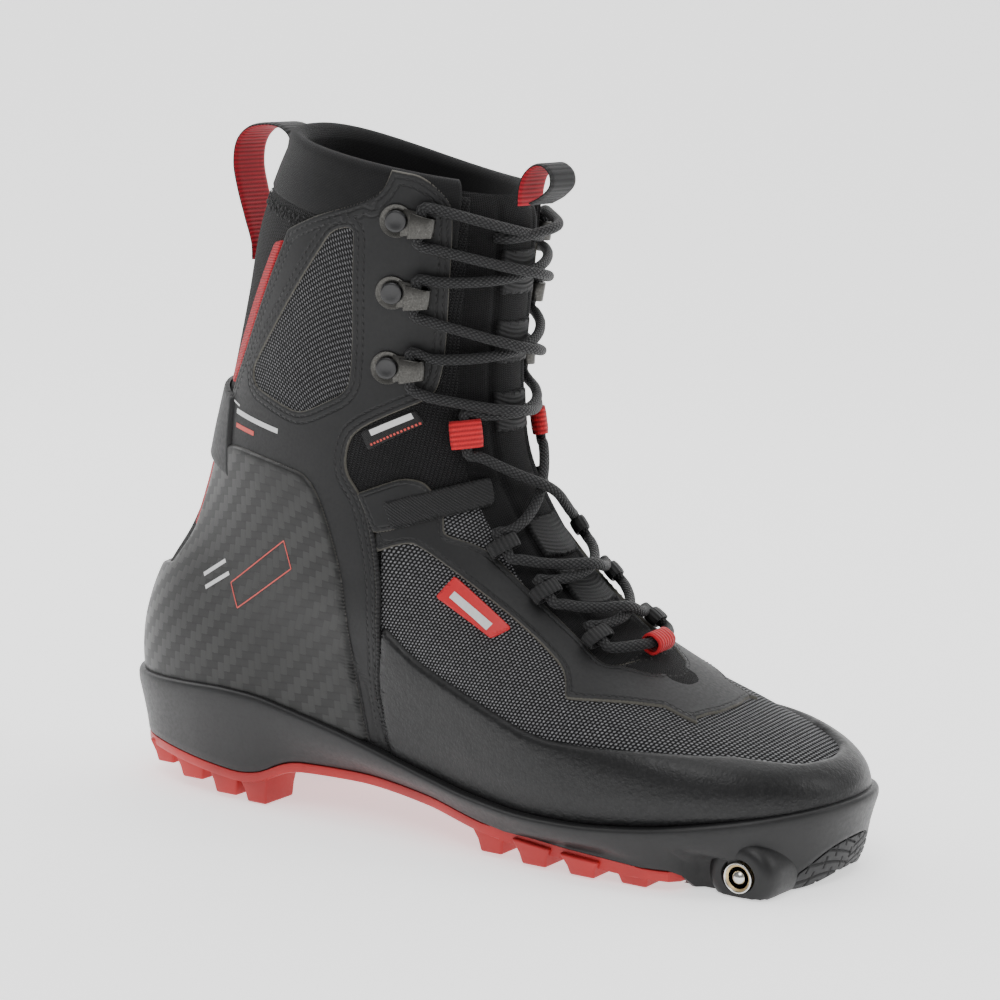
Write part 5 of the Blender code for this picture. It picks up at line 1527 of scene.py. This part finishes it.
tabLevel = 2.8 + 0.5 + 0.5 + lacing["radius"] + lacing["slide"]
tabLine = [lifted(np.array([1.0 + a]), np.array([lacing["tabRow"]]), np.array([tabLevel]))[0]
    for a in (-0.05, 0.0, 0.05)]
lacePath = laceHalf(1, True)[::-1] + tabLine + laceHalf(-1, False)
laceLine = smoothLine(lacePath, 1.2)
laceTube, laceLength = tube("lace_cord", laceLine, lacing["radius"], looks["lace"])
finish(laceTube, "boot", "lace_black", "lace")
print("lacing ready, lace", round(laceLength))

keepers = {"rows": (0.57, 0.63, 0.77, 0.845, 0.915), "half": 0.075, "wide": 0.022}
for number, row in enumerate(keepers["rows"]):
    line = np.array([(-1 - keepers["half"], row - keepers["wide"]),
    (-1 + keepers["half"], row - keepers["wide"]),
                     (-1 + keepers["half"], row + keepers["wide"]),
                     (-1 - keepers["half"], row + keepers["wide"])])
    piece = panel(f"keeper_{number}", line, 0.6, 1.6, looks["webbingBlack"], rim=0.6, gap=1.5, zero=-1.0)
    finish(piece, "boot", "webbing_black")


# sole

ringCount = 240


ringT = -1 + 2 * np.arange(ringCount) / ringCount
planRing = face(ringT, np.full(ringCount, 0.1))[:, :2]
planAhead = np.roll(planRing, -2, 0) - np.roll(planRing, 2, 0)
planOut = unit(np.stack([-planAhead[:, 1], planAhead[:, 0]], -1))
if (planOut * (planRing - planRing.mean(0))).sum() < 0:
    planOut = -planOut


def waist(x, least):
    return least * np.exp(-(((x + 30) / 38) ** 2))


def soleRing(reach, height):
    moved = planRing + planOut * reach[:, None]
    return np.column_stack([moved, height])


def ladderPiece(name, ringsIn, material):
    # A closed piece through rings, its two ends ruled straight across.
    count = len(ringsIn[0])
    points = np.vstack(ringsIn)
    faces = []
    for r in range(len(ringsIn) - 1):
        for k in range(count):
            n = (k + 1) % count
            faces.append((r * count + k, r * count + n, (r + 1) * count + n, (r + 1) * count + k))
    for start in (0, (len(ringsIn) - 1) * count):
        for k in range(count // 2):
            a, b = start + k, start + k + 1
            c, d = start + (count - k - 1) % count, start + (count - k) % count
            if a == d:
                faces.append((a, b, c))
            elif b == c:
                faces.append((a, b, d))
            else:
                faces.append((a, b, c, d))
    obj = newMesh(name, points, faces, material)
    evenNormals(obj)
    return obj


px = planRing[:, 0]
lipZ, lowZ = lipHeight(px), soleHeight(px)
# in front, the wall goes on down as the toe block's, to the slanting edge of the wear insert
treadTop = softLine(((-157, 0.3), (129, 0.3), (133, 1.0), (137.5, 4.0), (142, 8.5), (145.3, 13.0),
    (147.3, 15.0),
                     (149, 16.3), (157, 17.0)), 1.5)
treadLow = softLine(((-157, 0.15), (138, 0.2), (143, 0.6), (146, 2.0), (149, 4.5), (153, 7.0)), 1.5)
atFront = np.clip((px - 105.5) / 3.5, 0, 1)
atFront = atFront * atFront * (3 - 2 * atFront)
lowZ = lowZ + (treadTop(px) - lowZ) * atFront
midRings = []
profile = [(0.0, -3.0, 0.0), (0.0, 0.9, 0.0), (0.03, 1.35, 0.0), (0.12, 1.6, 0.0), (0.3, 2.2, 0.0),
    (0.5, 3.1, 0.0), (0.68, 4.0, 0.0),
           (0.8, 4.6, 0.0), (0.88, 4.8, 0.0), (0.94, 4.8, 0.0), (0.98, 4.6, 0.0), (1.0, 4.15, 0.25),
           (1.0, 3.4, 0.45),
           (1.0, 1.6, 0.5), (1.0, -1.0, 0.2), (0.75, -2.0, 0.0)]
for share, reach, more in profile:
    drawIn = waist(px, 6.0) * (1 - min(share / 0.55, 1)) ** 1.2
    ring = soleRing(reach - drawIn, lowZ + (lipZ - lowZ) * share + more)
    # beside the pins the wall draws in behind the bosses
    rise = np.clip((ring[:, 2] - 9.5) / 8.5, 0, 1)
    limit = 29.2 + 14 * rise * rise * (3 - 2 * rise) + 14 * (1 - np.clip((px - 104.5) / 8, 0, 1)) ** 2
    ring[:, 1] = np.clip(ring[:, 1], -limit, limit)
    midRings.append(ring)
midsole = ladderPiece("cup_sole", midRings, looks["midsole"])
focus(midsole)
bpy.ops.object.shade_smooth_by_angle(angle=math.radians(50))
finish(midsole, "boot", "midsole_black", "midsole")


pin = {"x": 127.0, "z": 6.8, "face": 33.0, "ball": 2.9, "reach": 33.9, "bush": 5.1}


def turnedPiece(name, profile, side, material, segments=64, wide=1.0, lift=0.0):
    # A piece turned about the pin's axis from (distance out, radius) points.
    turns = np.linspace(0, 2 * math.pi, segments, endpoint=False)
    rows = [np.stack([pin["x"] + wide * r * np.cos(turns), np.full(segments, side * d),
                      pin["z"] + lift + r * np.sin(turns)], -1) for d, r in profile]
    points = np.vstack(rows + [rows[0].mean(0)[None], rows[-1].mean(0)[None]])
    faces = []
    for r in range(len(rows) - 1):
        for k in range(segments):
            n = (k + 1) % segments
            faces.append((r * segments + k, r * segments + n, (r + 1) * segments + n, (r + 1) * segments + k))
    last = (len(rows) - 1) * segments
    for k in range(segments):
        n = (k + 1) % segments
        faces.append((k, n, len(points) - 2))
        faces.append((last + k, last + n, len(points) - 1))
    obj = newMesh(name, points, faces, material)
    evenNormals(obj)
    focus(obj)
    bpy.ops.object.shade_smooth_by_angle(angle=math.radians(38))
    return obj


bosses = []
for side, sign in (("lateral", -1), ("medial", 1)):
    boss = turnedPiece(f"boss_{side}", [(16, 12.4), (26, 12.0), (30.0, 11.4), (31.8, 10.4), (32.8, 9.0),
    (33.05, 7.6), (33.05, 5.9),
                                        (32.0, 5.4), (20, 5.4)], sign, looks["block"], wide=1.1, lift=0.6)
    for vertex in boss.data.vertices:
        vertex.co.z = max(vertex.co.z, 0.2 * mm)
    bosses.append(boss)

# under the toes: the flat foot of the block and the chamfer that carries the wear insert
frontRing = px > 104.5
order = np.arange(ringCount)
start = int(np.where(frontRing & ~np.roll(frontRing, 1))[0][0])
span = np.roll(order, -start)[:int(frontRing.sum())]


def footRow(reach, height):
    row = np.column_stack([planRing[span] + planOut[span] * reach, height])
    row[:, 1] = np.clip(row[:, 1], -29.0, 29.0)
    return row


outerEdge = footRow(0.3, treadTop(px[span]))
lowEdge = footRow(-3.0, treadLow(px[span]))
innerEdge = footRow(-9.0, 0.15 + treadLow(px[span]) * 0.5)
middleLine = np.column_stack([innerEdge[:, 0], np.full(len(span), 1.5), innerEdge[:, 2]])
footRows = [outerEdge, lowEdge, innerEdge, (innerEdge + middleLine) / 2, middleLine]
footPoints = np.vstack(footRows)
footFaces = []
for r in range(len(footRows) - 1):
    for k in range(len(span) - 1):
        a, b = r * len(span) + k, (r + 1) * len(span) + k
        footFaces.append((a, a + 1, b + 1, b))
foot = newMesh("block_foot", footPoints, footFaces, looks["block"])
work = bmesh.new()
work.from_mesh(foot.data)
bmesh.ops.recalc_face_normals(work, faces=work.faces)
if sum(f.normal.z * f.calc_area() for f in work.faces) > 0:
    bmesh.ops.reverse_faces(work, faces=work.faces)
work.to_mesh(foot.data)
work.free()
block = foot
focus(block, *bosses)
bpy.ops.object.join()
focus(block)
bpy.ops.object.shade_smooth_by_angle(angle=math.radians(35))
finish(block, "boot", "block_black", "binding_block")

for side, sign in (("lateral", -1), ("medial", 1)):
    bush = turnedPiece(f"bush_{side}", [(18.2, 5.2), (32.9, 5.2), (33.15, 5.0), (33.15, 4.5), (33.0, 4.3),
    (32.3, 3.5), (31.9, 3.1), (20.2, 3.05), (20.0, 3.0)],
                       sign, looks["brass"])
    finish(bush, "boot", "steel_polished", f"pin_bush_{side}")
    ring = turnedPiece(f"bush_ring_{side}", [(32.6, 5.4), (33.3, 5.3), (33.45, 5.1), (33.45, 4.85),
        (33.2, 4.6), (32.6, 4.5)], sign, looks["steel"])
    finish(ring, "boot", "steel_polished")
    angles = np.radians(np.linspace(0, 88, 14))
    ball = [(25.4, 2.2), (25.6, 2.5), (30.2, 2.55), (30.6, 2.4)]
    ball += [(pin["reach"] - pin["ball"] + pin["ball"] * math.sin(a), pin["ball"] * math.cos(a))
        for a in np.radians(np.linspace(-35, 88, 18))]
    piece = turnedPiece(f"ball_pin_{side}", ball, sign, looks["steel"])
    finish(piece, f"pin_{side}", "steel_polished", f"pin_{side}")


def treadPiece():
    # The grey wear insert on the chamfer: a herringbone of long ribs and short cuts.
    use = np.where(px[span] > 131)[0]
    fine = np.linspace(use[0], use[-1], 420)
    top = np.stack([np.interp(fine, use, outerEdge[use, k]) for k in range(3)], -1)
    low = np.stack([np.interp(fine, use, lowEdge[use, k]) for k in range(3)], -1)
    rows = 56
    share = np.linspace(0.03, 1.0, rows)[:, None, None]
    grid = top[None] + (low - top)[None] * share
    swell = np.stack([np.interp(fine, use, planOut[span][use, k]) for k in range(2)], -1)
    grid[..., :2] += swell[None] * 2.4 * share * (1 - share)
    ahead = np.gradient(grid, axis=1)
    down = np.gradient(grid, axis=0)
    normal = unit(np.cross(ahead, down))
    if normal[..., 0].mean() < 0:
        normal = -normal
    along = np.cumsum(np.linalg.norm(ahead, axis=-1), axis=1)
    across = np.cumsum(np.linalg.norm(down, axis=-1), axis=0)
    # ribs run slanting up to the front, in lanes that break where a short cut crosses them
    a = along * 0.94 + across * 0.34
    b = across * 0.94 - along * 0.34 * np.sign(along.mean() - along)
    rib = np.abs(((b / 3.1) % 1) - 0.5) * 3.1
    lane = np.floor(b / 3.1)
    cut = np.abs((((a + lane * 4.3) / 8.6) % 1) - 0.5) * 8.6
    groove = np.clip(1 - np.minimum(rib / 0.45, cut / 0.5), 0, 1)
    edge = np.minimum(np.minimum(share[..., 0], 1 - share[..., 0]) * rows / 2.0,
                      np.minimum(np.arange(420)[None], 419 - np.arange(420)[None]) / 4.0)
    height = (0.9 - 0.75 * groove) * np.clip(edge, 0, 1)
    solid = grid + normal * (height - 0.05)[..., None]
    solid[..., 2] = np.maximum(solid[..., 2], 0.05)
    index = np.arange(rows * 420).reshape(rows, 420)
    faces = np.stack([index[:-1, :-1].ravel(), index[:-1, 1:].ravel(), index[1:, 1:].ravel(),
        index[1:, :-1].ravel()], -1)
    obj = newMesh("toe_wear_insert", solid.reshape(-1, 3), faces, looks["tread"])
    work = bmesh.new()
    work.from_mesh(obj.data)
    bmesh.ops.recalc_face_normals(work, faces=work.faces)
    if sum(f.normal.x for f in work.faces) < 0:
        bmesh.ops.reverse_faces(work, faces=work.faces)
    work.to_mesh(obj.data)
    work.free()
    return obj


tread = treadPiece()
focus(tread)
bpy.ops.object.shade_smooth_by_angle(angle=math.radians(40))
finish(tread, "boot", "tread_grey", "toe_tread")


def halfWidthAt(x, side):
    half = planRing[planRing[:, 1] * side >= 0]
    half = half[np.argsort(half[:, 0])]
    return float(np.interp(x, half[:, 0], half[:, 1]))


def lugPiece(x, ground, base, outY, inY, shoulder):
    # A tapered lug: a wide root, a slanted back and a small flat foot.
    low = float(groundHeight(x))
    corners = []
    for z, size, skew, narrow in ((None, base, 0.0, 0.0), (0.5, ground + 1.5, 0.6, 0.7),
        (0.0, ground, 0.9, 1.2)):
        for sx, y in ((-1, outY), (1, outY), (1, inY), (-1, inY)):
            atX = x + sx * size / 2 + skew
            top = float(soleHeight(atX)) - 1.6
            atZ = top if z is None else low + (top - low) * z * 0.9
            towards = 1 if outY > inY else -1
            sideways = -towards * narrow if y == outY else towards * narrow
            corners.append((atX, y + sideways, atZ))
    faces = [(0, 1, 2, 3), (8, 9, 10, 11)]
    for level in (0, 4):
        for k in range(4):
            n = (k + 1) % 4
            faces.append((level + k, level + n, level + 4 + n, level + 4 + k))
    return np.array(corners), faces


outZ = soleHeight(px)
outRings = []
for reach, drop in ((-6.0, -0.2), (0.4, -0.25), (0.95, -0.5), (1.1, -1.2), (1.05, -3.0), (0.7, -3.9),
    (-0.4, -4.3), (-7.0, -4.3)):
    moved = soleRing(reach - waist(px, 6.0), outZ + drop)
    moved[:, 0] = np.minimum(moved[:, 0], 107.3)
    limit = 29.0 + 14 * (1 - np.clip((px - 104.5) / 8, 0, 1)) ** 2
    moved[:, 1] = np.clip(moved[:, 1], -limit, limit)
    outRings.append(moved)
sheet = ladderPiece("outsole_red", outRings, looks["outsole"])
lugs = []
for x, ground, base in ((-134, 8, 13), (-115, 10, 16), (-96, 10, 15), (-81, 9, 15), (31, 9, 16),
    (51, 10, 16), (71, 10, 16), (90.5, 10, 16)):
    for sign in (-1, 1):
        edgeY = halfWidthAt(x, sign) - sign * 0.4 - sign * float(waist(np.array([x]), 5.0)[0])
        lugs.append(lugPiece(x, ground, base, edgeY, edgeY - sign * 19.0, 0))
    if x > 0:
        lugs.append(lugPiece(x - 8, ground - 2, base - 4, 8.5, -8.5, 0))
lugPoints, lugFaces = [], []
for points, faces in lugs:
    start = sum(len(p) for p in lugPoints)
    lugPoints.append(points)
    lugFaces += [tuple(start + k for k in f) for f in faces]
lugObj = newMesh("lugs", np.vstack(lugPoints), lugFaces, looks["outsole"])
evenNormals(lugObj)
bevelled(lugObj, 0.9, 3, 20)
focus(sheet, lugObj)
bpy.ops.object.join()
focus(sheet)
bpy.ops.object.shade_smooth_by_angle(angle=math.radians(40))
finish(sheet, "boot", "outsole_red", "outsole")
print("sole ready")


# pull loops

def strapPiece(name, middle, width, thick, outerMat, innerMat, centreY=0.0):
    # Webbing along a line in side view, black on one face and red on the other.
    line = resampled(smoothLine(np.insert(np.array(middle, float), 1, centreY, axis=1), 1.0), 1.0,
    closed=False)
    run = unit(np.gradient(line, axis=0))
    side = np.stack([-run[:, 2], np.zeros(len(run)), run[:, 0]], -1)
    ys = np.linspace(-1, 1, 13)
    count = len(ys)
    lengths = np.concatenate([[0], np.cumsum(np.linalg.norm(np.diff(line, axis=0), axis=1))])
    points, grain = [], []
    for layer in (1, -1):
        for i in range(len(line)):
            for y in ys:
                edgeIn = 0.35 * thick * (abs(y) > 0.95)
                at = line[i] + side[i] * layer * (thick / 2 - edgeIn) + np.array([0, y * width / 2, 0])
                points.append(at)
                grain.append((y * width / 2, lengths[i]))
    n = len(line)
    index = np.arange(2 * n * count).reshape(2, n, count)
    faces, mats = [], []
    for layer in (0, 1):
        for i in range(n - 1):
            for j in range(count - 1):
                quad = (index[layer, i, j], index[layer, i + 1, j], index[layer, i + 1, j + 1],
                index[layer, i, j + 1])
                faces.append(quad if layer else quad[::-1])
                mats.append(layer)
    for i in range(n - 1):
        faces.append((index[0, i, 0], index[0, i + 1, 0], index[1, i + 1, 0], index[1, i, 0]))
        faces.append((index[0, i, -1], index[1, i, -1], index[1, i + 1, -1], index[0, i + 1, -1]))
        mats += [0, 0]
    for i in (0, n - 1):
        for j in range(count - 1):
            faces.append((index[0, i, j], index[0, i, j + 1], index[1, i, j + 1], index[1, i, j]))
            mats.append(0)
    obj = newMesh(name, points, faces, outerMat)
    obj.data.materials.append(innerMat)
    obj.data.polygons.foreach_set("material_index", mats)
    evenNormals(obj)
    addGrain(obj, grain)
    focus(obj)
    bpy.ops.object.shade_smooth_by_angle(angle=math.radians(50))
    return obj


heelLine = [(-98.8, 202), (-99.0, 208), (-102.2, 218), (-105.6, 229), (-107.2, 238), (-105.6, 246),
(-101, 250.6), (-94, 252.3), (-86, 251.8), (-80.8, 248.5),
            (-79.4, 243)]
heelStrap = strapPiece("heel_pull", heelLine, 18.0, 1.5, looks["webbingBlack"], looks["liningRed"])
finish(heelStrap, "heel_loop", "webbing_black", "heel_loop")
tongueLine = [(20.6, 226), (20.9, 231), (22.8, 236.5), (26.5, 239.8), (30.5, 240.3), (33.8, 237.6),
    (34.2, 233.5), (30.8, 229.8), (25.4, 227)]
tongueStrap = strapPiece("tongue_pull", tongueLine, 16.0, 1.4, looks["webbingBlack"], looks["liningRed"])
finish(tongueStrap, "tongue_loop", "webbing_black", "tongue_loop")

# the springs behind the pins, coiled at rest in the part's spring boxes; on the boot they close up as the
# pins go in, here they stay as built
spring = {"turns": 5, "wire": 0.3, "travel": 2.2}
for side, sign in (("lateral", -1), ("medial", 1)):
    low, high = (np.array(c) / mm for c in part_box(f"pin_spring_{side}"))
    centre = (low + high) / 2 - shift
    radius = (high[2] - low[2]) / 2 - spring["wire"]
    angles = np.linspace(0, 2 * math.pi * spring["turns"], 26 * spring["turns"])
    coil = np.column_stack([centre[0] + radius * np.cos(angles),
                            np.linspace(low[1] + spring["wire"], high[1] - spring["wire"], len(angles))
                            - shift[1],
                            centre[2] + radius * np.sin(angles)])
    piece, _ = tube(f"pin_coil_{side}", coil, spring["wire"], looks["steel"], 8)
    finish(piece, "boot", "spring_steel", f"pin_spring_{side}")
    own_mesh(piece)

# inner pieces keep the part's shapes
for node, look in (("footbed", "felt"), ("insole_board", "board"), ("shank", "steel")):
    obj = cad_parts[node]
    obj.data.materials.clear()
    obj.data.materials.append(looks[look])


# studio

studio = {"target": (0.0020, 0.00862, 0.117), "distance": 1.026, "azimuth": 34.5, "elevation": 9.5,
"lens": 100.8}
away = math.radians(studio["azimuth"])
behind = np.array([-math.sin(away), math.cos(away)])
across = np.array([math.cos(away), math.sin(away)])
sweep = [(-3.5, -0.0004), (1.0, -0.0004)]
sweep += [(1.0 + 1.2 * math.sin(a), -0.0004 + 1.2 * (1 - math.cos(a)))
    for a in np.radians(np.linspace(4, 90, 22))]
sweep += [(2.2, 4.0)]
floorPoints = np.array([[*(behind * d + across * w), z] for d, z in sweep for w in (-5, 5)])
floorFaces = [(2 * k, 2 * k + 1, 2 * k + 3, 2 * k + 2) for k in range(len(sweep) - 1)]
floor = newMesh("floor", floorPoints / mm, floorFaces, drawn=False)
g = Graph("floor", (0.92, 0.92, 0.92), 0.8)
g.put("Specular IOR Level", 0.05)
g.put("Emission Color", (1, 1, 1, 1))
g.put("Emission Strength", 0.95)
floor.data.materials.append(g.material)

world = bpy.data.worlds.new("studio")
bpy.context.scene.world = world
world.use_nodes = True
world.node_tree.nodes["Background"].inputs[0].default_value = (1, 1, 1, 1)
world.node_tree.nodes["Background"].inputs[1].default_value = 0.3


def softLight(name, place, aim, size, power, colour=(1, 1, 1)):
    light = bpy.data.lights.new(name, "AREA")
    light.shape = "RECTANGLE"
    light.size, light.size_y = size
    light.energy = power
    light.color = colour
    obj = bpy.data.objects.new(name, light)
    bpy.context.scene.collection.objects.link(obj)
    obj.location = place
    obj.rotation_euler = (Vector(aim) - Vector(place)).to_track_quat("-Z", "Y").to_euler()
    return obj


softLight("key", (0.5, -1.2, 1.7), (0, 0, 0.1), (1.1, 1.1), 16)
softLight("back", (-1.4, -0.2, 1.3), (0, 0, 0.12), (0.8, 1.4), 11)
softLight("front", (1.6, 0.6, 1.0), (0, 0, 0.05), (0.7, 1.2), 9)
softLight("over", (0.0, 0.4, 1.9), (0, 0, 0), (1.8, 1.8), 19)

camera = bpy.data.cameras.new("camera")
camera.lens = studio["lens"]
camera.sensor_width = 36
view = bpy.data.objects.new("camera", camera)
bpy.context.scene.collection.objects.link(view)
a, e = math.radians(studio["azimuth"]), math.radians(studio["elevation"])
back = Vector((math.sin(a) * math.cos(e), -math.cos(a) * math.cos(e), math.sin(e)))
view.location = Vector(studio["target"]) + back * studio["distance"]
view.rotation_euler = (-back).to_track_quat("-Z", "Y").to_euler()
bpy.context.scene.camera = view
